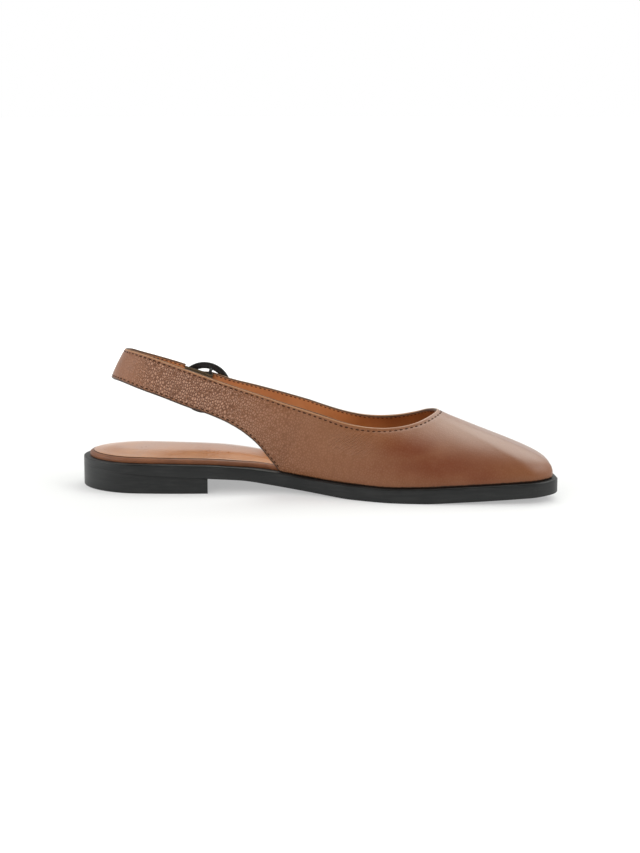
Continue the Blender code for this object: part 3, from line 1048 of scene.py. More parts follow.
@dataclass
class SoleUnit:
    """Full-length rubber sole with the low heel block under it."""

    last: Last
    seam: float = 0.02
    edge_round: float = 0.6
    heel_edge_round: float = 0.8
    seam_round: float = 0.06
    heel_breast: float = 70.8
    breast_skew: float = 7.5
    round_steps: int = 4
    tread_slope: float = -0.8
    ledge_slope: float = 0.9

    def sole_round(self, along: np.ndarray) -> np.ndarray:
        """Radius of the sole's lower edge, which is nearly sharp where it meets the heel."""
        free = ease((along - self.heel_breast + self.breast_skew) / self.breast_skew)
        return self.seam_round + (self.edge_round - self.seam_round) * free

    def slab(self, last: float, skew: float, low: Edge, high: Edge) -> list[Layer]:
        """Layers of a slab from the back of the heel, with rounded lower and upper edges.

        Args:
            last: Where the slab ends along.
            skew: How far its outer side stops short.
            low: Height and radius of its lower edge.
            high: Height and radius of its upper edge.

        Returns:
            The layers from the bottom to the top.
        """
        layers = []
        turns = np.linspace(0, math.pi / 2, self.round_steps + 1)
        radii = self.last.spread(0, last)
        for edge, way, order in ((low, 1, turns), (high, -1, turns[::-1])):
            for turn in order:
                sides = self.last.rim(0, last, edge.radius(radii) * (1 - math.sin(turn)), skew=skew)
                layers.append(self.last.layer(sides, edge.lifted(way * (1 - math.cos(turn)))))
        return layers

    def build(self, rubber: Material, tread: Material, ledge: Material) -> None:
        """Makes sole and heel.

        Args:
            rubber: Material of the sides.
            tread: Material of the undersides.
            ledge: Material of the tops.
        """
        materials = (rubber, tread, ledge)
        low = Edge(self.last.underside, self.sole_round)
        high = Edge(self.last.top, raised(np.zeros_like, self.edge_round))
        layers = self.slab(self.last.length, 0.0, low, high)
        sole = new_piece("sole", outline_mesh("sole", layers), materials)
        low = Edge(np.zeros_like, raised(np.zeros_like, self.heel_edge_round))
        high = Edge(raised(self.last.underside, -self.seam), raised(np.zeros_like, self.seam_round))
        layers = self.slab(self.heel_breast, self.breast_skew, low, high)
        heel = new_piece("heel_block", outline_mesh("heel_block", layers), materials)
        for piece, node in ((sole, "outsole"), (heel, "heel")):
            for face in piece.data.polygons:
                if face.normal.z < self.tread_slope:
                    face.material_index = materials.index(tread)
                elif face.normal.z > self.ledge_slope:
                    face.material_index = materials.index(ledge)
            seat(piece, Slot.RUBBER, node)


@dataclass
class Insole:
    """Leather-wrapped footbed with a thin crowned sock on it."""

    last: Last
    ledge: float = 3.4
    thick: float = 2.4
    tuck: Pair = (84.0, 100.0)
    wall_gap: float = 0.7
    # Rounded side of the footbed. Columns: share of its thickness, drawn in by
    side_rows: Rows = ((0.0, 0.15), (0.4, 0.0), (0.8, 0.36), (1.0, 1.2))
    side_steps: int = 9
    # Share of the footbed's height, from the bottom, painted dark along its joint with the sole, partly as
    # shade
    seam_share: float = 0.16
    sock_inset: float = 2.0
    sock_gap: float = 0.1
    # Crowned top of the sock. Columns: in from its edge, above the footbed
    sock_rows: Rows = (
        (0.0, 0.0),
        (0.05, 0.20),
        (0.5, 0.36),
        (4.0, 0.90),
        (9.0, 1.80),
        (12.0, 2.20),
        (16.0, 2.30),
    )
    sock_steps: int = 16
    crown_fade: Pair = (80.0, 115.0)
    crown_left: float = 0.28
    # Rings of the sock's edge painted dark, a painted shade of the gap beside it
    dark_steps: int = 2

    def inset(self, extra: float | np.ndarray) -> np.ndarray:
        """Inset of the footbed from the sole outline, wider where it lies inside the upper.

        Args:
            extra: More inset, one value or one for each step along.

        Returns:
            The inset at each step along.
        """
        along = self.last.spread(0, self.last.length)
        start, end = self.tuck
        part = ease((along - start) / (end - start))
        tucked = self.last.upper_ledge + self.last.wall + self.wall_gap
        return self.ledge + (tucked - self.ledge) * part + extra

    def crown_share(self, along: np.ndarray) -> np.ndarray:
        """Share of the sock's crown, which is full over the heel and fades towards the arch."""
        start, end = self.crown_fade
        return 1 - (1 - self.crown_left) * ease((along - start) / (end - start))

    def layer(self, extra: float, height: float, reach: float = 0.0, crown: float = 0.0) -> Layer:
        """One outline of the footbed at a height above the sole.

        Args:
            extra: How far it is moved inwards from the footbed's edge.
            height: Height above the sole.
            reach: How far it is moved inwards on the sock's crown.
            crown: More height on the sock's crown.

        Returns:
            Outer and inner side of the outline.
        """
        share = self.crown_share(self.last.spread(0, self.last.length))
        sides = self.last.rim(0, self.last.length, self.inset(extra + reach * share))

        def surface(along: np.ndarray) -> np.ndarray:
            """Height of the outline."""
            return self.last.top(along) + height + crown * self.crown_share(along)

        return self.last.layer(sides, surface)

    def build(self, brown: Material, tan: Material) -> None:
        """Makes footbed and sock.

        Args:
            brown: Material of the footbed.
            tan: Material of the sock.
        """
        side = Track(self.side_rows)
        shares = np.linspace(0, 1, self.side_steps)
        rise = self.last.gap + self.thick - self.last.seam
        layers = [self.layer(float(side.at(s)[0]), self.last.seam + s * rise) for s in shares]
        footbed = new_piece("wrapped_footbed", outline_mesh("wrapped_footbed", layers), (brown,))
        count = len(footbed.data.vertices) // self.side_steps
        # Dark bottom of the footbed, partly painted shade of its joint with the sole
        keep_values(footbed.data, "seam", np.repeat(1 - shares / self.seam_share, count))
        seat(footbed, Slot.UPPER, "footbed")

        crown = Track(self.sock_rows, keep_flat=True)
        base = self.last.gap + self.thick + self.sock_gap
        reach = self.sock_rows[-1][0]
        places = reach * np.linspace(0, 1, self.sock_steps) ** 2
        layers = [self.layer(self.sock_inset, base, p, float(crown.at(p)[0])) for p in places]
        sock = new_piece("sock", outline_mesh("sock", layers), (tan,))
        count = len(sock.data.vertices) // self.sock_steps
        # Dark sock edge, a painted shade of the gap beside it
        keep_values(sock.data, "seam", np.repeat(np.arange(self.sock_steps) < self.dark_steps, count))
        seat(sock, Slot.LINING, "sock_lining")


@dataclass
class Ribs:
    """Ribs of the upper's outer face, each a conic from its lower edge over a shoulder to its top."""

    low: np.ndarray
    shoulder: np.ndarray
    top: np.ndarray
    tightness: np.ndarray
    on_sole: np.ndarray

    def points(self, steps: int) -> np.ndarray:
        """Points on every rib, at even values of the conic's own measure.

        Args:
            steps: Number of steps on a rib.

        Returns:
            A grid of points, rib by rib.
        """
        part = np.linspace(0, 1, steps + 1)[None, :, None]
        rest = 1 - part
        pull = 2 * part * rest * self.tightness[:, None, None]
        low, shoulder, top = (line[:, None, :] for line in (self.low, self.shoulder, self.top))
        return (rest**2 * low + pull * shoulder + part**2 * top) / (rest**2 + pull + part**2)


@dataclass
class Band:
    """Lines of the upper: sling, quarters, vamp and front strap as one long band."""

    last: Last
    toe_middle: float = -9.0
    # Sling as ribs, from the inner quarter round the heel to the outer quarter.
    # Columns: low_along, low_across, low_height, top_along, top_across, top_height
    sling_rows: Rows = (
        (108.0, -20.9, 12.3, 124.0, -28.2, 46.4),
        (103.7, -24.0, 18.6, 118.0, -28.2, 48.3),
        (98.7, -26.7, 25.8, 111.5, -28.2, 50.4),
        (92.2, -28.4, 32.3, 103.5, -28.1, 53.1),
        (83.3, -29.6, 38.4, 92.0, -28.0, 56.8),
        (72.7, -29.7, 43.2, 79.5, -27.6, 60.8),
        (59.8, -28.7, 47.4, 65.5, -26.5, 65.5),
        (45.8, -26.4, 52.2, 51.5, -24.4, 70.0),
        (33.3, -22.9, 55.9, 39.0, -21.0, 73.7),
        (23.0, -16.4, 58.6, 30.0, -15.0, 75.3),
        (17.6, -8.5, 58.8, 25.6, -8.2, 75.2),
        (15.6, 0.0, 58.3, 23.9, 0.0, 74.6),
        (17.6, 8.5, 57.0, 25.6, 8.2, 73.3),
        (23.0, 16.2, 54.7, 29.7, 15.0, 70.9),
        (32.7, 23.3, 49.9, 39.0, 21.6, 67.2),
        (45.1, 27.4, 44.5, 51.0, 25.3, 63.0),
        (57.6, 29.2, 40.0, 63.5, 27.4, 58.4),
        (70.1, 30.1, 36.1, 77.0, 28.8, 54.1),
        (81.2, 30.0, 32.4, 90.5, 29.7, 50.8),
        (90.4, 29.0, 27.5, 102.0, 30.0, 47.8),
        (97.0, 27.5, 21.8, 110.0, 30.0, 45.6),
        (101.5, 25.8, 16.5, 116.0, 29.9, 43.9),
        (104.0, 24.6, 12.7, 121.0, 29.7, 42.5),
    )
    # Edge of the opening from the inner quarter round the throat. Columns: along, across, height
    topline_rows: Rows = (
        (124.0, -28.2, 46.4),
        (134.0, -28.2, 43.3),
        (144.0, -27.9, 40.2),
        (154.0, -27.3, 38.2),
        (164.0, -26.2, 37.4),
        (173.0, -24.2, 37.9),
        (181.0, -20.6, 39.4),
        (187.5, -14.2, 41.6),
        (191.0, -7.5, 43.0),
        (191.8, -2.0, 43.3),
        (190.6, 4.0, 42.9),
        (186.5, 10.8, 41.6),
        (179.5, 17.2, 38.8),
        (170.0, 21.8, 36.3),
        (160.0, 24.6, 35.2),
        (150.0, 26.6, 35.5),
        (140.0, 28.0, 37.1),
        (130.0, 29.1, 39.7),
        (121.0, 29.7, 42.5),
    )
    throat_row: int = 9
    # Bend of the ribs, from the inner quarter (0) through the toe (1) to the outer quarter (2).
    # Columns: place, run, rise, swell, tightness
    bend_rows: Rows = (
        (0.00, 0.50, 0.50, 4.0, 1.0),
        (0.20, 0.34, 0.56, 3.4, 1.0),
        (0.45, 0.10, 0.60, 1.8, 1.0),
        (0.65, 0.03, 0.42, 1.0, 1.25),
        (0.82, 0.00, 0.31, 1.0, 2.3),
        (1.00, 0.00, 0.305, 1.6, 3.6),
        (1.18, 0.00, 0.30, 1.0, 2.4),
        (1.35, 0.03, 0.38, 1.2, 1.25),
        (1.55, 0.10, 0.57, 2.0, 1.0),
        (1.80, 0.36, 0.56, 3.0, 1.0),
        (2.00, 0.50, 0.50, 3.0, 1.0),
    )
    # Swell of the sling's own ribs. Columns: share of its length, swell
    swell_rows: Rows = ((0.0, 4.0), (0.25, 1.2), (0.5, 0.8), (0.8, 1.0), (1.0, 3.0))
    fan: float = 1.35
    # Fastening, measured along the strap from the buckle's bar, positive to the toe
    buckle_along: float = 63.0
    sling_end: float = -14.0
    tail_tip: float = -33.0
    tail_round: float = 8.0
    tail_tip_share: float = 0.28
    # How far the front strap stands off the foot line. Columns: along, lift
    lift_rows: Rows = ((-60, 2.1), (-6, 2.1), (0, 3.2), (5, 1.8), (11, 0.6), (16, 0.0), (90, 0.0))
    # The front strap tapers behind the bar. Columns: along, share of the strap's width
    taper_rows: Rows = ((-60, 0.74), (-10, 0.74), (-4, 0.84), (1, 0.95), (5, 1.0), (90, 1.0))
    sling_step: float = 1.2
    tail_step: float = 0.9
    vamp_ribs: int = 150
    joint_reach: int = 10

    def __post_init__(self) -> None:
        """Reads the tables and finds the buckle's bar."""
        table = np.array(self.sling_rows)
        middle = (table[:, :3] + table[:, 3:]) / 2
        chords = np.linalg.norm(np.diff(middle, axis=0), axis=1)
        self.reach = np.concatenate([[0.0], np.cumsum(chords)])
        self.sling = Track(np.column_stack([self.reach, table]))
        self.swell = Track(self.swell_rows)
        self.topline = Track.through(self.topline_rows)
        self.bend = Track(self.bend_rows)
        self.lift = Track(self.lift_rows, keep_flat=True)
        self.taper = Track(self.taper_rows, keep_flat=True)
        self.feather, self.toe = self.feather_line()
        self.bar = self.bar_reach()

    def feather_line(self) -> tuple[Track, float]:
        """Lower edge from the inner quarter round the toe to the outer quarter.

        Returns:
            The edge by its own length, and the length at which it passes the middle of the toe.
        """
        fine_steps = 400
        outer, inner = self.last.rim(0, self.last.length, self.last.upper_ledge, fine_steps)
        first, last = self.sling_rows[0], self.sling_rows[-1]
        inner = inner[np.argmin(np.abs(inner[:, 0] - first[0])) :]
        outer = outer[np.argmin(np.abs(outer[:, 0] - last[0])) :]
        points = np.concatenate([inner, outer[-2::-1]])
        points = np.column_stack([points, self.last.top(points[:, 0]) + self.last.gap])
        points[0], points[-1] = first[:3], last[:3]
        edge = Track.through(points)
        ahead = np.where(points[:, 0] > self.last.length / 2, np.abs(points[:, 1] - self.toe_middle), np.inf)
        return edge, float(edge.knots[np.argmin(ahead)])

    def foot(self, place: float) -> np.ndarray:
        """Point of the lower edge at a place from 0 through the toe at 1 to 2."""
        end = self.feather.knots[-1]
        return self.feather.at(np.interp(place, (0, 1, 2), (0, self.toe, end)))

    def lip(self, place: float) -> np.ndarray:
        """Point of the topline over a place of the lower edge, crowded towards the throat.

        Args:
            place: From 0 through the throat at 1 to 2.

        Returns:
            The point.
        """
        throat = self.topline.knots[self.throat_row]
        end = self.topline.knots[-1]
        if place <= 1:
            return self.topline.at(throat * (1 - (1 - place) ** self.fan))
        return self.topline.at(throat + (end - throat) * (place - 1) ** self.fan)

    def bar_reach(self) -> float:
        """Finds the buckle's bar on the sling.

        Returns:
            The distance from the inner quarter.
        """
        fine_steps = 2000
        places = np.linspace(self.reach[len(self.reach) // 2], self.reach[-1], fine_steps)
        middles = self.sling.at(places)
        along = (middles[:, 0] + middles[:, 3]) / 2
        return float(places[np.argmin(np.abs(along - self.buckle_along))])

    def sling_frame(self, reach: float) -> tuple[Vector, Vector, Vector, Vector]:
        """Middle of the sling with its own directions.

        Args:
            reach: Distance along the sling.

        Returns:
            The middle and the directions to the toe, up across the strap and outwards.
        """
        row = self.sling.at(reach)
        step = 1.0
        nearby = self.sling.at(np.array([reach - step, reach + step]))
        centres = (nearby[:, :3] + nearby[:, 3:]) / 2
        ahead = Vector(centres[1] - centres[0]).normalized()
        up = Vector(row[3:] - row[:3])
        out = up.cross(ahead).normalized()
        return Vector((row[:3] + row[3:]) / 2), ahead, ahead.cross(out), out

    def buckle_place(self, drop: float = 0.0) -> Matrix:
        """Frame of the buckle in millimetres: x to the toe, y down the strap, z outwards.

        Args:
            drop: How far it is moved down the strap.

        Returns:
            The frame as a matrix.
        """
        middle, ahead, up, out = self.sling_frame(self.bar)
        axes = Matrix((ahead, -up, out)).transposed().to_4x4()
        return Matrix.Translation(middle - drop * up) @ axes

    def sling_rib(self, reach: float, lift: float = 0.0, narrow: float = 1.0) -> Rib:
        """One rib of the sling.

        Args:
            reach: Distance along the sling.
            lift: How far it stands off the foot line.
            narrow: Share of its width that is left.

        Returns:
            The rib.
        """
        row = self.sling.at(reach)
        out = np.array(self.sling_frame(reach)[3])
        middle = (row[:3] + row[3:]) / 2
        low = middle + (row[:3] - middle) * narrow + out * lift
        top = middle + (row[3:] - middle) * narrow + out * lift
        swell = float(self.swell.at(reach / self.reach[-1])[0]) * narrow
        return low, (low + top) / 2 + out * swell, top, 1.0, False

    def vamp_rib(self, place: float) -> Rib:
        """One rib of the quarters and vamp, over its shoulder point.

        Args:
            place: From the inner quarter at 0 through the toe at 1 to 2.

        Returns:
            The rib.
        """
        low, top = self.foot(place), self.lip(place)
        run, rise, swell, tightness = self.bend.at(place)
        step = 0.004
        ahead = self.foot(min(place + step, 2.0)) - self.foot(max(place - step, 0.0))
        out = np.array([ahead[1], -ahead[0], 0.0])
        out /= np.linalg.norm(out)
        shoulder = low + run * (top - low) + swell * out
        shoulder[2] = low[2] + rise * (top[2] - low[2])
        return low, shoulder, top, tightness, True

    def tail_rib(self, reach: float) -> Rib:
        """One rib of the front strap, narrowed round its tip.

        Args:
            reach: Distance along the sling.

        Returns:
            The rib.
        """
        lift = float(self.lift.at(reach - self.bar)[0])
        past = max(0.0, self.tail_round - (reach - self.bar - self.tail_tip)) / self.tail_round
        narrow = math.sqrt(1 - (1 - self.tail_tip_share**2) * past**2)
        return self.sling_rib(reach, lift, narrow * float(self.taper.at(reach - self.bar)[0]))

    def ribs(self, end_round: float) -> Ribs:
        """All ribs from the sling's end round heel, inner side, toe and outer side to the tail.

        Args:
            end_round: How far both ends stop short, for their rounding.

        Returns:
            The ribs.
        """
        sling_end = self.bar + self.sling_end - end_round
        tail_tip = self.bar + self.tail_tip + end_round
        count = round(sling_end / self.sling_step)
        found = [self.sling_rib(reach) for reach in np.linspace(sling_end, 0, count + 1)[:-1]]
        found += [self.vamp_rib(place) for place in np.linspace(0, 2, 2 * self.vamp_ribs + 1)]
        joints = (count, len(found) - 1)
        count = round((self.reach[-1] - tail_tip) / self.tail_step)
        found += [self.tail_rib(reach) for reach in np.linspace(self.reach[-1], tail_tip, count + 1)[1:]]
        low, shoulder, top, tightness, on_sole = (np.array(column) for column in zip(*found))
        low[on_sole, 2] -= self.last.gap - self.last.seam
        chord = (low + top) / 2
        for joint in joints:
            near = slice(joint - self.joint_reach, joint + self.joint_reach + 1)
            part = ease(np.linspace(0, 1, 2 * self.joint_reach + 1))[:, None]
            offset = shoulder[near] - chord[near]
            shoulder[near] = chord[near] + (1 - part) * offset[0] + part * offset[-1]
        return Ribs(low, shoulder, top, tightness, on_sole)


@dataclass(frozen=True)
class Crease:
    """A soft trough with low ridges beside it, on one side of the shoe."""

    side: Side
    start: Pair
    end: Pair
    depth: float
    width: float
    # Share of its length over which each end fades
    fade: float = 0.35
    # Ridges: share of the depth, and distance in widths
    ridge_share: float = 0.45
    ridge_place: float = 1.9
    # Where the sides of the shoe part, across
    parting: float = -4.0

    def relief(self, points: np.ndarray) -> np.ndarray:
        """Height of the crease at points of the last.

        Args:
            points: Rows of along, across and height.

        Returns:
            The height at each point.
        """
        flat = points[..., (0, 2)]
        start, end = np.array(self.start), np.array(self.end)
        run = end - start
        length = np.linalg.norm(run)
        share = ((flat - start) @ run) / length**2
        away = (flat - start) @ np.array([-run[1], run[0]]) / length
        ends = ease(share / self.fade) * ease((1 - share) / self.fade)
        there = np.sign(points[..., 1] - self.parting) == self.side.value
        trough = -bell(away, self.width)
        beside = self.ridge_place * self.width
        ridges = self.ridge_share * (bell(away - beside, self.width) + bell(away + beside, self.width))
        return np.where(there, self.depth * ends * (trough + ridges), 0.0)


@dataclass
class StitchTree:
    """Geometry Nodes that lay stitches of thread along lines."""

    pitch: float = 2.9
    length: float = 2.0
    width: float = 0.90
    height: float = 0.55
    seed: int = 7
    least: Triple = (0.85, 0.9, 0.9)
    most: Triple = (1.1, 1.1, 1.1)
    sides: int = 8
    rings: int = 5

    def tree(self, thread: Material) -> tuple[bpy.types.NodeTree, dict[str, object]]:
        """Builds the tree.

        Args:
            thread: Material of the stitches.

        Returns:
            The tree and the values of its inputs by socket identifier.
        """
        tree = bpy.data.node_groups.new("stitch_row", "GeometryNodeTree")
        tree.interface.new_socket("Lines", in_out="INPUT", socket_type="NodeSocketGeometry")
        tree.interface.new_socket("Stitches", in_out="OUTPUT", socket_type="NodeSocketGeometry")
        size = Vector((self.length, self.width, self.height)) * MM / 2
        inputs = (
            ("Pitch", "NodeSocketFloat", self.pitch * MM),
            ("Half Size", "NodeSocketVector", size),
            ("Seed", "NodeSocketInt", self.seed),
            ("Thread", "NodeSocketMaterial", thread),
        )
        values = {}
        for name, kind, value in inputs:
            socket = tree.interface.new_socket(name, in_out="INPUT", socket_type=kind)
            values[socket.identifier] = value
        sheet = NodeSheet(tree)
        given = tree.nodes.new("NodeGroupInput")
        named = {socket.name: Shade(sheet, socket) for socket in given.outputs}
        curve = sheet.node("GeometryNodeMeshToCurve", None, {"Mesh": named["Lines"]})
        inputs = {"Curve": curve, "Length": named["Pitch"]}
        row = sheet.node("GeometryNodeResampleCurve", {"mode": "LENGTH"}, inputs)
        settings = {"data_type": "FLOAT_VECTOR"}
        outward = sheet.node("GeometryNodeInputNamedAttribute", settings, {"Name": "outward"}, "Attribute")
        settings = {"primary_axis": "Z", "secondary_axis": "X"}
        inputs = {"Primary Axis": outward, "Secondary Axis": sheet.node("GeometryNodeInputTangent")}
        turn = sheet.node("FunctionNodeAxesToRotation", settings, inputs)
        settings = {"data_type": "FLOAT_VECTOR"}
        inputs = {"Min": self.least, "Max": self.most, "Seed": named["Seed"]}
        scale = sheet.node("FunctionNodeRandomValue", settings, inputs)
        inputs = {"Segments": self.sides, "Rings": self.rings, "Radius": 1.0}
        ball = sheet.node("GeometryNodeMeshUVSphere", None, inputs)
        inputs = {"Geometry": ball, "Scale": named["Half Size"]}
        stitch = sheet.node("GeometryNodeTransform", None, inputs)
        inputs = {"Points": row, "Instance": stitch, "Rotation": turn, "Scale": scale}
        rows = sheet.node("GeometryNodeInstanceOnPoints", None, inputs)
        real = sheet.node("GeometryNodeRealizeInstances", None, {"Geometry": rows})
        smooth = sheet.node("GeometryNodeSetShadeSmooth", None, {"Geometry": real})
        done = sheet.node("GeometryNodeSetMaterial", None, {"Geometry": smooth, "Material": named["Thread"]})
        sheet.node("NodeGroupOutput", None, {"Stitches": done})
        return tree, values

    def sew(self, name: str, lines: Sequence[Layer], thread: Material) -> Piece:
        """Makes one piece of all stitches along lines.

        Args:
            name: Name of the piece.
            lines: Points in the frame and outward directions of each line.
            thread: Material of the stitches.

        Returns:
            The piece.
        """
        points = np.vstack([line for line, _ in lines])
        edges = []
        for line, _ in lines:
            start = edges[-1][1] + 1 if edges else 0
            edges += [(start + i, start + i + 1) for i in range(len(line) - 1)]
        mesh = bpy.data.meshes.new(name)
        mesh.from_pydata(points.tolist(), edges, [])
        keep_vectors(mesh, "outward", np.vstack([outward for _, outward in lines]))
        piece = new_piece(name, mesh, (thread,))
        sewing = piece.modifiers.new("stitches", "NODES")
        tree, values = self.tree(thread)
        sewing.node_group = tree
        for identifier, value in values.items():
            sewing[identifier] = value
        make_plain(piece)
        return piece


@dataclass
class Upper:
    """Leather wall with folded edges, lining, creases, strap holes and rows of stitches."""

    last: Last
    band: Band
    arc_steps: int = 5
    fine_steps: int = 160
    # Rows of the grid near an edge, by distance from it
    edge_rows: tuple[float, ...] = (0.9, 1.3, 1.75, 2.2, 2.7, 3.3, 4.1)
    # A rib narrower than this many times the last of them has them squeezed
    edge_room: float = 3.0
    middle_rows: int = 32
    sole_edge_round: float = 0.3
    # Sections round each end, in degrees
    end_turns: Triple = (25.0, 50.0, 75.0)
    stitch_sink: float = 0.02
    stitch_inset: float = 1.75
    lining_inset: float = 1.25
    # The row of stitches lies deeper at the throat. Columns: along, distance from the edge
    throat_rows: Rows = ((16, 1.75), (112, 1.75), (150, 2.6), (168, 2.9), (192, 2.9))
    # On the outer side the painted edge highlight and the dark rim shift by far_fold, fading in over
    # far_reach across
    far_fold: float = 0.35
    far_reach: float = 20.0
    # Offset of the painted shade on the straps' lower edges, which face down; a smaller value widens it
    low_edge_shade: float = 0.80
    groove: float = 0.24
    groove_width: float = 0.55
    fold_puff: float = 0.05
    fold_width: float = 0.8
    crease_fade: float = 6.0
    pebble_fade: float = 3.0
    # The vamp settles a little behind the throat. Columns: distance from the topline, depth
    settle_rows: Rows = ((0.0, 0.0), (3.0, 0.25), (9.0, 0.50), (22.0, 0.50), (38.0, 0.25), (60.0, 0.0))
    settle_from: float = 176.0
    settle_full: float = 200.0
    # Strength of the pebble grain. Columns: along, share
    pebble_rows: Rows = (
        (14, 0.05),
        (30, 0.20),
        (42, 0.85),
        (60, 1.0),
        (76, 0.90),
        (94, 0.54),
        (112, 0.30),
        (132, 0.14),
        (160, 0.08),
        (185, 0.04),
        (256, 0.04),
    )
    # Painted shade: darker patches on the vamp's side. Columns: along, height, reach along, reach up
    shade_patch_rows: Rows = ((196, 19, 36, 9), (178, 27, 18, 7), (214, 15, 17, 6))
    # Polished front. Columns: along, share
    polish_rows: Rows = ((168, 0.0), (190, 0.6), (212, 1.0), (256, 1.0))
    polish_slope: Pair = (0.20, 0.92)
    # Patch of fine wrinkles, bumped and with painted highlights on their lines: middle and reach, along and
    # height
    wrinkle_middle: Pair = (148.0, 30.0)
    wrinkle_reach: Pair = (12.0, 6.5)
    creases: tuple[Crease, ...] = (
        Crease(Side.INNER, (143.0, 21.0), (153.0, 36.0), 0.10, 1.5),
        Crease(Side.INNER, (150.0, 20.0), (160.0, 35.0), 0.12, 1.7),
        Crease(Side.INNER, (158.0, 19.0), (167.0, 34.0), 0.09, 1.8),
        Crease(Side.INNER, (112.0, 24.0), (126.0, 39.0), 0.18, 4.5),
        Crease(Side.OUTER, (139.0, 19.0), (149.0, 32.0), 0.22, 2.0),
        Crease(Side.OUTER, (147.0, 18.0), (157.0, 31.0), 0.24, 2.1),
        Crease(Side.OUTER, (110.0, 21.0), (122.0, 35.0), 0.25, 4.5),
    )
    holes: tuple[float, ...] = (-21.0, -14.0, -7.0, -1.2, 6.5)
    hole_radius: float = 1.0
    hole_sides: int = 24
    hole_over: float = 1.0

    @property
    def grid_rows(self) -> int:
        """Number of rows of the outer face."""
        return len(self.edge_rows) * 2 + self.middle_rows

    def surface(self) -> None:
        """Works out the outer face as a grid of points with normals and distances from the edges."""
        radius = self.last.wall / 2
        ribs = self.band.ribs(radius)
        curves = ribs.points(self.fine_steps)
        chords = np.linalg.norm(np.diff(curves, axis=1), axis=2)
        reach = np.concatenate([np.zeros((len(curves), 1)), np.cumsum(chords, axis=1)], axis=1)
        self.width = reach[:, -1]
        near = np.array(self.edge_rows)
        squeeze = np.minimum(1.0, self.width / (self.edge_room * near[-1]))[:, None]
        low = near * squeeze
        high = self.width[:, None] - low[:, ::-1]
        share = np.linspace(0, 1, self.middle_rows + 2)[1:-1]
        middle = low[:, -1:] + (high[:, :1] - low[:, -1:]) * share
        self.from_low = np.hstack([low, middle, high])
        self.from_top = self.width[:, None] - self.from_low
        self.on_sole = ribs.on_sole
        self.points = self.at(curves, reach, self.from_low)
        self.low = curves[:, 0]
        self.top = curves[:, -1]
        self.sewn_in = Track(self.throat_rows, keep_flat=True).at(self.top[:, 0])[:, 0]
        along_band = np.gradient(self.points, axis=0)
        along_rib = np.gradient(self.points, axis=1)
        normals = np.cross(along_band, along_rib)
        self.normals = normals / np.linalg.norm(normals, axis=2, keepdims=True)
        self.rib_ends = []
        for end, nearest in ((self.low, 0), (self.top, -1)):
            run = end - self.points[:, nearest]
            self.rib_ends.append(run / np.linalg.norm(run, axis=1, keepdims=True))

    @staticmethod
    def at(curves: np.ndarray, reach: np.ndarray, places: np.ndarray) -> np.ndarray:
        """Points on each rib at distances from its lower edge.

        Args:
            curves: Fine points of each rib.
            reach: Their distances from the lower edge.
            places: The distances to read.

        Returns:
            A point for each of the places.
        """
        found = np.empty((*places.shape, 3))
        for i, curve in enumerate(curves):
            for axis in range(3):
                found[i, :, axis] = np.interp(places[i], reach[i], curve[:, axis])
        return found

    def edge_distance(self) -> np.ndarray:
        """Distance from the nearest cut edge, where the sole's edge doesn't count.

        Returns:
            The distance at each point of the grid.
        """
        far = 50.0
        from_low = np.where(self.on_sole[:, None], far, self.from_low)
        return np.minimum(self.from_top, from_low)

    def relief(self) -> np.ndarray:
        """Height of folds, stitch grooves and creases on the outer face.

        Returns:
            The height at each point of the grid.
        """
        edge = self.edge_distance()
        height = self.fold_puff * bell(edge - self.last.wall / 2, self.fold_width)
        grooves = bell(self.from_top - self.sewn_in[:, None], self.groove_width)
        beside_low = bell(self.from_low - self.stitch_inset, self.groove_width)
        grooves += np.where(self.on_sole[:, None], 0.0, beside_low)
        height -= self.groove * grooves
        settled = Track(self.settle_rows, keep_flat=True).at(self.from_top)[..., 0]
        ahead = (self.points[..., 0] - self.settle_from) / (self.settle_full - self.settle_from)
        height -= settled * ease(ahead)
        fade = ease(edge / self.crease_fade) * ease(self.from_low / self.crease_fade)
        for crease in self.creases:
            height += fade * crease.relief(self.points)
        return height

    def loops(self, relief: np.ndarray) -> np.ndarray:
        """Closed sections of the wall: outer face, top edge, lining and lower edge.

        Args:
            relief: Height of the outer face over its plain form.

        Returns:
            Points of the sections, in order along the band.
        """
        radius = self.last.wall / 2
        outer = self.points + relief[..., None] * self.normals
        inner = self.points - self.last.wall * self.normals
        turns = np.linspace(0, math.pi, self.arc_steps + 2)[1:-1]
        arcs = []
        for (end, nearest), run in zip(((self.low, 0), (self.top, -1)), self.rib_ends):
            deep = radius * (1 - np.cos(turns))[None, :, None] * self.normals[:, nearest][:, None]
            reach = np.full(len(end), radius)
            if nearest == 0:
                reach[self.on_sole] = self.sole_edge_round
            back = (reach[:, None] * (1 - np.sin(turns)))[..., None] * run[:, None]
            arcs.append(end[:, None] - back - deep)
        loops = np.concatenate([outer, arcs[1], inner[:, ::-1], arcs[0][:, ::-1]], axis=1)
        return self.with_round_ends(loops)

    def with_round_ends(self, loops: np.ndarray) -> np.ndarray:
        """Adds the rounded ends of the sling and the tail.

        Args:
            loops: Sections of the wall.

        Returns:
            The sections with those of both ends.
        """
        radius = self.last.wall / 2
        middle = (loops + loops[:, self.partners()]) / 2
        ends = []
        for end, beside in ((0, 1), (-1, -2)):
            run = np.mean(middle[end] - middle[beside], axis=0)
            run /= np.linalg.norm(run)
            extra = []
            for turn in np.radians(self.end_turns):
                thin = middle[end] + (loops[end] - middle[end]) * math.cos(turn)
                extra.append(thin + run * radius * math.sin(turn))
            ends.append(np.array(extra))
        return np.concatenate([ends[0][::-1], loops, ends[1]], axis=0)

    def partners(self) -> np.ndarray:
        """For each point of a section, the point across the wall from it.

        Returns:
            The numbers of those points.
        """
        rows = self.grid_rows
        inner_start = rows + self.arc_steps
        low_start = inner_start + rows
        arc = np.arange(self.arc_steps)[::-1]
        face = np.arange(rows)[::-1]
        return np.concatenate([inner_start + face, rows + arc, face, low_start + arc])

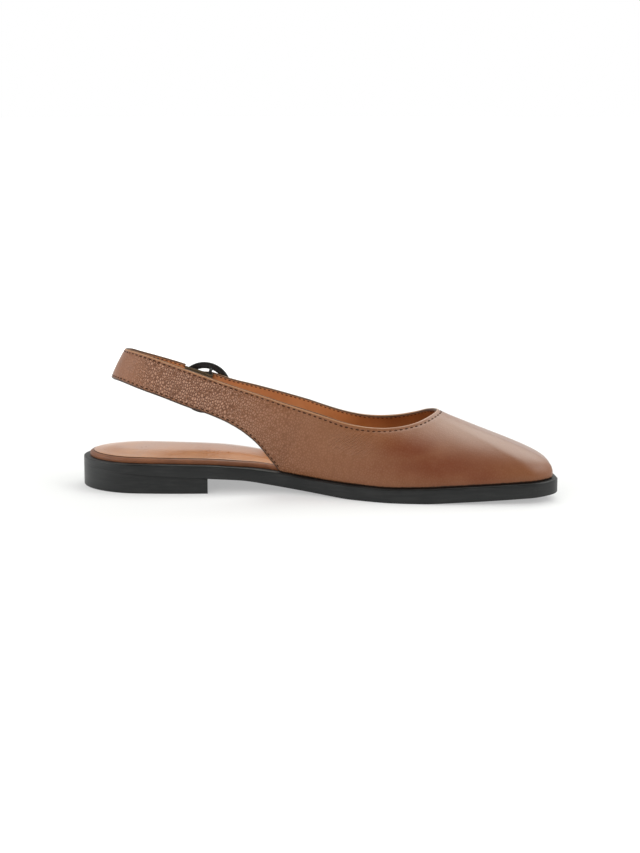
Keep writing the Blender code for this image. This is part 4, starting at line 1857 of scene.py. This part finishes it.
    def faces(self, count: int, size: int) -> tuple[list[tuple[int, ...]], np.ndarray]:
        """Faces between sections and over both ends, with the material of each.

        Args:
            count: Number of sections.
            size: Points in a section.

        Returns:
            Corners of the faces, and 1 for each face of the lining and 0 for leather.
        """
        ring = np.arange(size)
        rows = self.grid_rows
        lining = (ring >= rows + self.arc_steps) & (ring < 2 * rows + self.arc_steps - 1)
        found = grid_faces(count, size)
        kinds = np.tile(lining, count - 1).astype(int).tolist()
        partner = self.partners()
        low_arc = [2 * rows + self.arc_steps + i for i in range(self.arc_steps)]
        for base in (0, (count - 1) * size):
            caps = [(i, i + 1, int(partner[i + 1]), int(partner[i])) for i in range(rows - 1)]
            caps.append(tuple(range(rows - 1, rows + self.arc_steps + 1)))
            caps.append((low_arc[0] - 1, *low_arc, 0))
            found += [tuple(base + corner for corner in cap) for cap in caps]
            kinds += [0] * len(caps)
        return found, np.array(kinds)

    def spread(self, values: np.ndarray, at_sole: float | None = None, over_edge: float = 0.0) -> np.ndarray:
        """Values of the grid carried to every point of the wall.

        Args:
            values: One value for each point of the outer face.
            at_sole: The value on the edge that meets the sole, if it is another one.
            over_edge: How much the value changes round an edge, from the leather to the lining.

        Returns:
            One value for each point of the wall.
        """
        low = values[:, [0]] if at_sole is None else np.where(self.on_sole[:, None], at_sole, values[:, [0]])
        share = over_edge * np.linspace(0, 1, self.arc_steps + 2)[1:-1]
        loops = np.concatenate([values, values[:, [-1]] + share, values[:, ::-1], low + share[::-1]], axis=1)
        ends = [np.repeat(loops[[end]], len(self.end_turns), axis=0) for end in (0, -1)]
        return np.concatenate([ends[0], loops, ends[1]], axis=0)

    def keep_looks(self, mesh: Mesh) -> None:
        """Stores pebble, polish, wrinkles and the masks of painted shade, painted highlights and seams.

        Args:
            mesh: Mesh of the wall.
        """
        along, across, height = np.moveaxis(self.points, 2, 0)
        pebble = Track(self.pebble_rows, keep_flat=True).at(along)[..., 0]
        # Painted shade patches on the vamp's side
        shade_patch = np.zeros_like(along)
        for middle, level, reach, rise in self.shade_patch_rows:
            patch = bell(along - middle, reach) * bell(height - level, rise)
            shade_patch = np.maximum(shade_patch, patch)
        wrinkle = bell(along - self.wrinkle_middle[0], self.wrinkle_reach[0])
        wrinkle = wrinkle * bell(height - self.wrinkle_middle[1], self.wrinkle_reach[1])
        low, high = self.polish_slope
        facing_up = ease((self.normals[..., 2] - low) / (high - low))
        polish = Track(self.polish_rows, keep_flat=True).at(along)[..., 0] * facing_up
        # Painted shade on the straps' lower edges, and the dark seam above the sole, partly painted shade
        shade_painted_low = self.from_low - self.last.wall / 2 + self.low_edge_shade
        dark_low = np.where(self.on_sole[:, None], self.from_low, shade_painted_low)
        # Distance from the top edge for the painted edge highlight and the dark rim, shifted on the outer
        # side
        folded = self.from_top - self.last.wall / 2 + self.far_fold * ease(across / self.far_reach)
        for name, values in (
            ("pebble", pebble * ease(self.edge_distance() / self.pebble_fade)),
            ("shade_patch", shade_patch),
            ("wrinkle", wrinkle),
            ("polish", polish),
            ("seam", np.zeros_like(along)),
        ):
            keep_values(mesh, name, self.spread(values))
        keep_values(mesh, "edge", self.spread(folded, over_edge=-1.0))
        keep_values(mesh, "feather", self.spread(dark_low, at_sole=0.0, over_edge=-1.0))

    def punch(self, piece: Piece) -> None:
        """Cuts the buckle holes through the front strap.

        Args:
            piece: The wall.
        """
        work = bmesh.new()
        for place in self.holes:
            reach = self.band.bar + place
            low, shoulder, top, _, _ = self.band.tail_rib(reach)
            middle = (low + 2 * shoulder + top) / 4
            _, ahead, up, out = self.band.sling_frame(reach)
            depth = self.last.wall + self.last.gap / 2 + self.hole_over
            centre = Vector(self.last.place(middle)) + out * ((self.hole_over - depth / 2) * MM)
            turn = Matrix((ahead, up, ahead.cross(up))).transposed().to_4x4()
            bmesh.ops.create_cone(
                work,
                cap_ends=True,
                segments=self.hole_sides,
                radius1=self.hole_radius * MM,
                radius2=self.hole_radius * MM,
                depth=depth * MM,
                matrix=Matrix.Translation(centre) @ turn,
            )
        mesh = bpy.data.meshes.new("strap_holes")
        work.to_mesh(mesh)
        work.free()
        cutter = new_piece("strap_holes", mesh, (piece.data.materials[0],))
        combine(piece, cutter, "DIFFERENCE")

    def across(self, grid: np.ndarray, ribs: np.ndarray, places: np.ndarray) -> np.ndarray:
        """Values of a grid at a distance from the lower edge of ribs.

        Args:
            grid: Values at each point of the outer face.
            ribs: Numbers of the ribs.
            places: A distance for each of them.

        Returns:
            The values for each of the ribs.
        """
        found = np.empty((len(ribs), grid.shape[2]))
        for row, (rib, place) in enumerate(zip(ribs, places)):
            for axis in range(grid.shape[2]):
                found[row, axis] = np.interp(place, self.from_low[rib], grid[rib, :, axis])
        return found

    def stitch_lines(self, relief: np.ndarray, lining: bool) -> list[Layer]:
        """Rows of stitches beside every cut edge.

        Args:
            relief: Height of the outer face over its plain form.
            lining: Whether the rows lie on the lining or on the leather.

        Returns:
            The lines with their outward directions.
        """
        every = np.arange(len(self.width))
        cut = np.flatnonzero(~self.on_sole)
        split = np.flatnonzero(np.diff(cut) > 1)[0] + 1
        inset = self.lining_inset if lining else self.stitch_inset
        from_top = self.lining_inset if lining else self.sewn_in
        low = np.full(len(every), inset)
        lines = []
        for ribs, places in ((every, self.width - from_top), (cut[:split], low), (cut[split:], low)):
            places = places[ribs]
            points = self.across(self.points, ribs, places)
            normals = self.across(self.normals, ribs, places)
            height = -self.last.wall if lining else self.across(relief[..., None], ribs, places)
            outward = -normals if lining else normals
            lines.append((self.last.place(points + height * normals - self.stitch_sink * outward), outward))
        return lines

    def build(self, leather: Material, lining: Material, thread: Material) -> None:
        """Makes the wall and its stitches.

        Args:
            leather: Material of the outer face.
            lining: Material of the inner face.
            thread: Material of the stitches.
        """
        self.surface()
        relief = self.relief()
        loops = self.loops(relief)
        faces, kinds = self.faces(*loops.shape[:2])
        mesh = mesh_of("upper_wall", self.last.place(loops), faces)
        mesh.polygons.foreach_set("material_index", kinds.astype(np.int32))
        self.keep_looks(mesh)
        wall = new_piece("upper_wall", mesh, (leather, lining))
        self.punch(wall)
        seat(wall, Slot.UPPER, "upper")
        for name, tree, on_lining in (
            ("upper_stitches", StitchTree(), False),
            ("lining_stitches", StitchTree(pitch=2.5, length=1.6, width=0.6, height=0.4), True),
        ):
            seat(tree.sew(name, self.stitch_lines(relief, on_lining), thread), None)


def tube(name: str, path: np.ndarray, radii: np.ndarray, sides: int = 16) -> Mesh:
    """A closed round tube along a path.

    Args:
        name: Name of the mesh.
        path: Points of its middle line.
        radii: Radius at each point.
        sides: Number of sides.

    Returns:
        The mesh.
    """
    off_axis = (0.31, 0.59, 0.74)
    runs = np.gradient(path, axis=0)
    runs /= np.linalg.norm(runs, axis=1, keepdims=True)
    side = np.cross(runs[0], off_axis)
    turns = np.linspace(0, 2 * math.pi, sides + 1)[:-1]
    rings = []
    for point, run, radius in zip(path, runs, radii):
        side = side - run * (side @ run)
        side /= np.linalg.norm(side)
        up = np.cross(run, side)
        rings.append(point + radius * (np.cos(turns)[:, None] * side + np.sin(turns)[:, None] * up))
    ring = np.arange(sides)
    faces = [tuple(ring.tolist()), tuple((ring + (len(path) - 1) * sides).tolist())]
    return mesh_of(name, np.array(rings), faces + grid_faces(len(path), sides))


@dataclass
class Fastening:
    """Round black buckle with bar and pin, and the elastic that ties the sling to it."""

    last: Last
    band: Band
    ring_radius: float = 12.9
    ring_drop: float = 0.9
    ring_band: float = 3.6
    ring_thick: float = 2.0
    ring_toe_side: float = 1.3
    ring_heel_side: float = 2.55
    ring_fullness: float = 2.8
    ring_steps: int = 96
    band_steps: int = 24
    bar_steps: int = 90
    bar_radius: float = 0.9
    bar_depth: float = -0.9
    # The bar dips behind the strap. Columns: across the strap, off the foot line
    bar_rows: Rows = ((12.2, 2.4), (11.7, 1.2), (11.4, 0.0), (11.0, -0.7), (10.2, -0.9))
    # The pin comes up through a strap hole and lies on the ring. Columns: along, off the foot line, radius
    prong_rows: Rows = (
        (-1.2, 1.3, 0.70),
        (-1.3, 2.6, 0.70),
        (-1.0, 3.9, 0.70),
        (0.2, 4.65, 0.70),
        (2.0, 4.85, 0.70),
        (8.0, 4.80, 0.66),
        (13.0, 4.48, 0.60),
        (14.0, 4.40, 0.30),
    )
    prong_steps: int = 48
    elastic_width: float = 17.4
    elastic_raise: float = 0.2
    elastic_thick: float = 0.8
    elastic_tuck: float = 1.5
    loop_steps: int = 36
    strip_points: int = 10
    elastic_edge: float = 0.15

    def placed(self, points: np.ndarray, drop: float = 0.0) -> np.ndarray:
        """Points of the buckle's own frame in the frame's metres."""
        place = np.array(self.band.buckle_place(drop))
        return self.last.place(points @ place[:3, :3].T + place[:3, 3])

    def ring_height(self) -> float:
        """How far the ring's middle plane stands off the foot line."""
        return (self.ring_toe_side + self.ring_heel_side + self.ring_thick) / 2

    def ring_points(self) -> np.ndarray:
        """The ring as a grid of points in the buckle's own frame.

        Returns:
            The grid, section by section.
        """
        turns = np.linspace(0, 2 * math.pi, self.ring_steps + 1)[:-1]
        round_band = np.linspace(0, 2 * math.pi, self.band_steps + 1)[:-1]
        power = 2 / self.ring_fullness
        wide = np.sign(np.cos(round_band)) * np.abs(np.cos(round_band)) ** power * self.ring_band / 2
        deep = np.sign(np.sin(round_band)) * np.abs(np.sin(round_band)) ** power * self.ring_thick / 2
        reach = self.ring_radius + wide[None, :]
        along = np.cos(turns)[:, None] * reach
        across = np.sin(turns)[:, None] * reach
        tilt = (self.ring_heel_side - self.ring_toe_side) / (2 * self.ring_radius)
        return np.stack([along, across, self.ring_height() + deep[None, :] - tilt * along], axis=2)

    def build_ring(self, enamel: Material) -> None:
        """Makes the ring with its bar.

        Args:
            enamel: Its material.
        """
        grid = self.ring_points()
        faces = grid_faces(*grid.shape[:2], closed=True)
        mesh = mesh_of("ring", self.placed(grid.reshape(-1, 3), self.ring_drop), faces)
        ring = new_piece("ring_buckle", mesh, (enamel,))
        half = [(0.0, self.ring_radius, self.ring_height())]
        half += [(0.0, across, depth) for across, depth in self.bar_rows]
        path = half + [(0.0, -across, depth) for _, across, depth in reversed(half)]
        line = Track.through(path)
        fine = line.at(np.linspace(0, line.knots[-1], self.bar_steps))
        radii = np.full(len(fine), self.bar_radius * MM)
        mesh = tube("bar", self.placed(fine, self.ring_drop), radii)
        bar = new_piece("bar", mesh, (enamel,))
        combine(ring, bar, "UNION")
        seat(ring, Slot.METAL, "buckle_ring")

    def build_prong(self, enamel: Material) -> None:
        """Makes the pin.

        Args:
            enamel: Its material.
        """
        rows = np.array(self.prong_rows)
        line = Track.through(np.column_stack([rows[:, 0], np.zeros(len(rows)), rows[:, 1]]))
        places = np.linspace(0, line.knots[-1], self.prong_steps)
        radii = np.interp(places, line.knots, rows[:, 2])
        mesh = tube("prong", self.placed(line.at(places), self.ring_drop), radii * MM)
        seat(new_piece("buckle_pin", mesh, (enamel,)), Slot.METAL, "buckle_prong")

    def elastic_outline(self) -> tuple[np.ndarray, np.ndarray]:
        """Side view of the elastic.

        Returns:
            Its outline and the hole of its loop, in along and depth.
        """
        middle, ahead, _, out = self.band.sling_frame(self.band.bar)
        bore = self.bar_radius + self.last.gap
        loop = bore + self.elastic_thick
        half = self.elastic_thick / 2
        start = math.asin(half / loop)
        turns = np.linspace(math.pi - start, start - math.pi, self.loop_steps + 1)
        around = np.column_stack([loop * np.cos(turns), self.bar_depth + loop * np.sin(turns)])
        line = []
        for reach in np.linspace(-2 * loop, self.band.sling_end - self.elastic_tuck, self.strip_points):
            offset = self.band.sling_frame(self.band.bar + reach)[0] - middle
            line.append((offset.dot(ahead), self.bar_depth + offset.dot(out)))
        line = np.array(line)
        outline = np.vstack([line[::-1] + (0, half), around, line - (0, half)])
        turns = np.linspace(0, 2 * math.pi, self.loop_steps + 1)[:-1]
        hole = np.column_stack([bore * np.cos(turns), self.bar_depth + bore * np.sin(turns)])
        return outline, hole

    def build_elastic(self, webbing: Material) -> None:
        """Makes the elastic with its loop round the bar.

        Args:
            webbing: Its material.
        """
        curve = bpy.data.curves.new("elastic_band", "CURVE")
        curve.dimensions = "2D"
        curve.fill_mode = "BOTH"
        curve.extrude = (self.elastic_width / 2 - self.elastic_edge) * MM
        curve.bevel_depth = self.elastic_edge * MM
        curve.bevel_resolution = 1
        curve.offset = -self.elastic_edge * MM
        for points in self.elastic_outline():
            spline = curve.splines.new("POLY")
            spline.points.add(len(points) - 1)
            for control, (along, depth) in zip(spline.points, points):
                control.co = (along * MM, depth * MM, 0, 1)
            spline.use_cyclic_u = True
        shape = bpy.data.objects.new("elastic_band", curve)
        bpy.context.scene.collection.objects.link(shape)
        graph = bpy.context.evaluated_depsgraph_get()
        mesh = bpy.data.meshes.new_from_object(shape.evaluated_get(graph))
        bpy.data.objects.remove(shape)
        work = bmesh.new()
        work.from_mesh(mesh)
        bmesh.ops.remove_doubles(work, verts=work.verts, dist=TOUCH)
        pour(work, mesh)
        flat = np.array([vertex.co for vertex in mesh.vertices]) / MM
        keep_vectors(mesh, "weave", flat[:, (0, 2, 1)])
        middle, ahead, up, out = self.band.sling_frame(self.band.bar)
        axes = np.array(Matrix((ahead, out, up)))
        placed = self.last.place(flat @ axes + np.array(middle + self.elastic_raise * up))
        mesh.vertices.foreach_set("co", placed.astype(np.float32).ravel())
        mesh.shade_smooth()
        mesh.set_sharp_from_angle(angle=math.radians(SHARP))
        mesh.update()
        seat(new_piece("elastic_band", mesh, (webbing,)), Slot.WEBBING, "elastic")

    def build(self, enamel: Material, webbing: Material) -> None:
        """Makes ring, pin and elastic.

        Args:
            enamel: Material of ring and pin.
            webbing: Material of the elastic.
        """
        self.build_ring(enamel)
        self.build_prong(enamel)
        self.build_elastic(webbing)


@dataclass
class SoftBox:
    """One soft studio light."""

    name: str
    place: Triple
    aim: Triple
    size: Pair
    power: float
    glossy: bool = True
    tint: Colour = (1.0, 1.0, 1.0)

    def hang(self) -> None:
        """Adds the light to the scene."""
        light = bpy.data.lights.new(self.name, "AREA")
        light.shape = "RECTANGLE"
        light.size, light.size_y = self.size
        light.energy = self.power
        light.color = self.tint
        lamp = bpy.data.objects.new(self.name, light)
        lamp.location = self.place
        lamp.visible_glossy = self.glossy
        lamp.rotation_euler = (Vector(self.aim) - Vector(self.place)).to_track_quat("-Z", "Y").to_euler()
        bpy.context.scene.collection.objects.link(lamp)


@dataclass
class Studio:
    """Pale floor, soft light and the camera."""

    last: Last
    floor_reach: float = 6.0
    floor_sides: int = 96
    floor_grey: float = 0.50
    # Glow of the floor, which is less under the shoe so that its shadow shows
    floor_glow: Pair = (0.39, 1.0)
    glow_reach: Pair = (0.18, 0.75)
    sky_back: float = 1.0
    sky_above: float = 0.55
    sky_front: float = 0.16
    # Where the sky changes, as a soft step on its direction
    above_reach: Pair = (0.22, 0.48)
    behind_reach: Pair = (-0.5, 0.3)
    aim: Triple = (129.235, -4.0, 33.245)
    distance: float = 1100.0
    elevation: float = 10.5
    azimuth: float = 4.0
    lens: float = 86.18
    lights: tuple[SoftBox, ...] = (
        SoftBox("overhead", (0.25, 0.74, 1.14), (0.05, 0.0, 0.0), (1.4, 1.15), 13.6, tint=(0.96, 1.0, 0.94)),
        SoftBox(
            "front_fill", (-0.4, -1.5, 0.8), (0.0, 0.0, 0.03), (1.4, 1.0), 15.0, False, (1.0, 0.98, 0.93)
        ),
        SoftBox("toe_side", (1.15, -0.25, 0.75), (0.10, 0.0, 0.02), (0.9, 0.9), 8.2),
        SoftBox("heel_side", (-1.15, -0.35, 0.45), (-0.10, 0.0, 0.03), (0.6, 0.6), 4.5),
    )

    def build_floor(self) -> None:
        """Lays a large pale floor that glows a little, so that shadows stay soft."""
        mesh = bpy.data.meshes.new("floor")
        work = bmesh.new()
        bmesh.ops.create_circle(work, cap_ends=True, segments=self.floor_sides, radius=self.floor_reach)
        work.to_mesh(mesh)
        work.free()
        sheet = Surface("pale_floor")
        grey = (self.floor_grey,) * 3
        material = sheet.dress({"Base Color": grey, "Roughness": 1.0, "Specular IOR Level": 0.0})
        away = sheet.node("ShaderNodeVectorMath", {"operation": "LENGTH"}, {0: sheet.coords()}, "Value")
        near, far = ((glow,) * 3 for glow in self.floor_glow)
        glow = sheet.blend(sheet.step(away, *self.glow_reach), near, far)
        sheet.dress({"Emission Color": glow, "Emission Strength": 1.0})
        new_piece("floor", mesh, (material,))

    def build_sky(self) -> None:
        """Pale surroundings: a bright wall behind, dimmer above it and on the camera's side."""
        world = bpy.data.worlds.new("studio")
        world.use_nodes = True
        bpy.context.scene.world = world
        sheet = NodeSheet(world.node_tree)
        where = sheet.node("ShaderNodeTexCoord", output="Generated")
        across = sheet.node("ShaderNodeSeparateXYZ", None, {0: where}, "Y")
        up = sheet.node("ShaderNodeSeparateXYZ", None, {0: where}, "Z")
        behind = self.sky_back + sheet.step(up, *self.above_reach) * (self.sky_above - self.sky_back)
        light = self.sky_front + sheet.step(across, *self.behind_reach) * (behind - self.sky_front)
        sheet.feed(world.node_tree.nodes["Background"].inputs["Strength"], light)
        sheet.feed(world.node_tree.nodes["Background"].inputs["Color"], (1.0, 1.0, 1.0))

    def build_camera(self) -> None:
        """Sets the camera at the photograph's angle."""
        camera = bpy.data.cameras.new("camera")
        camera.lens = self.lens
        eye = bpy.data.objects.new("camera", camera)
        up, turn = math.radians(self.elevation), math.radians(self.azimuth)
        back = Vector((math.sin(turn) * math.cos(up), -math.cos(turn) * math.cos(up), math.sin(up)))
        eye.location = Vector(self.last.place(self.aim)) + back * self.distance * MM
        eye.rotation_euler = (-back).to_track_quat("-Z", "Y").to_euler()
        bpy.context.scene.collection.objects.link(eye)
        bpy.context.scene.camera = eye

    def build(self) -> None:
        """Sets the studio up."""
        bpy.context.scene.view_settings.view_transform = "Standard"
        self.build_floor()
        self.build_sky()
        for light in self.lights:
            light.hang()
        self.build_camera()


def main() -> None:
    """Builds the shoe piece by piece, then the studio."""
    logging.basicConfig(level=logging.INFO, format="%(name)s: %(message)s")
    last = Last()
    band = Band(last)
    rubber, tread = SatinRubber().make(), TreadRubber().make()
    # The sole's top faces in a lighter black: a painted highlight for the ledge's lit rim
    ledge = SatinRubber(
        "ledge_highlight_rubber",
        black=(0.013, 0.013, 0.013),
        dusty=(0.030, 0.030, 0.029),
        roughness=0.55,
        gloss=0.26,
    ).make()
    brown = SmoothLeather(
        "footbed_leather",
        colour=(0.215, 0.078, 0.030),
        shade=(0.140, 0.048, 0.018),
        roughness=0.55,
        coat=0.05,
    ).make()
    tan = SmoothLeather(
        "sock_leather",
        colour=(0.43, 0.180, 0.062),
        shade=(0.36, 0.140, 0.044),
        roughness=0.30,
        coat=0.40,
    ).make()
    lining = SmoothLeather(
        "lining_leather",
        colour=(0.50, 0.195, 0.065),
        shade=(0.42, 0.150, 0.046),
        roughness=0.55,
    ).make()
    SoleUnit(last).build(rubber, tread, ledge)
    Insole(last).build(brown, tan)
    Upper(last, band).build(UpperLeather().make(), lining, SewingThread().make())
    Fastening(last, band).build(BlackEnamel().make(), WovenElastic().make())
    Studio(last).build()


if __name__ == "__main__":
    main()
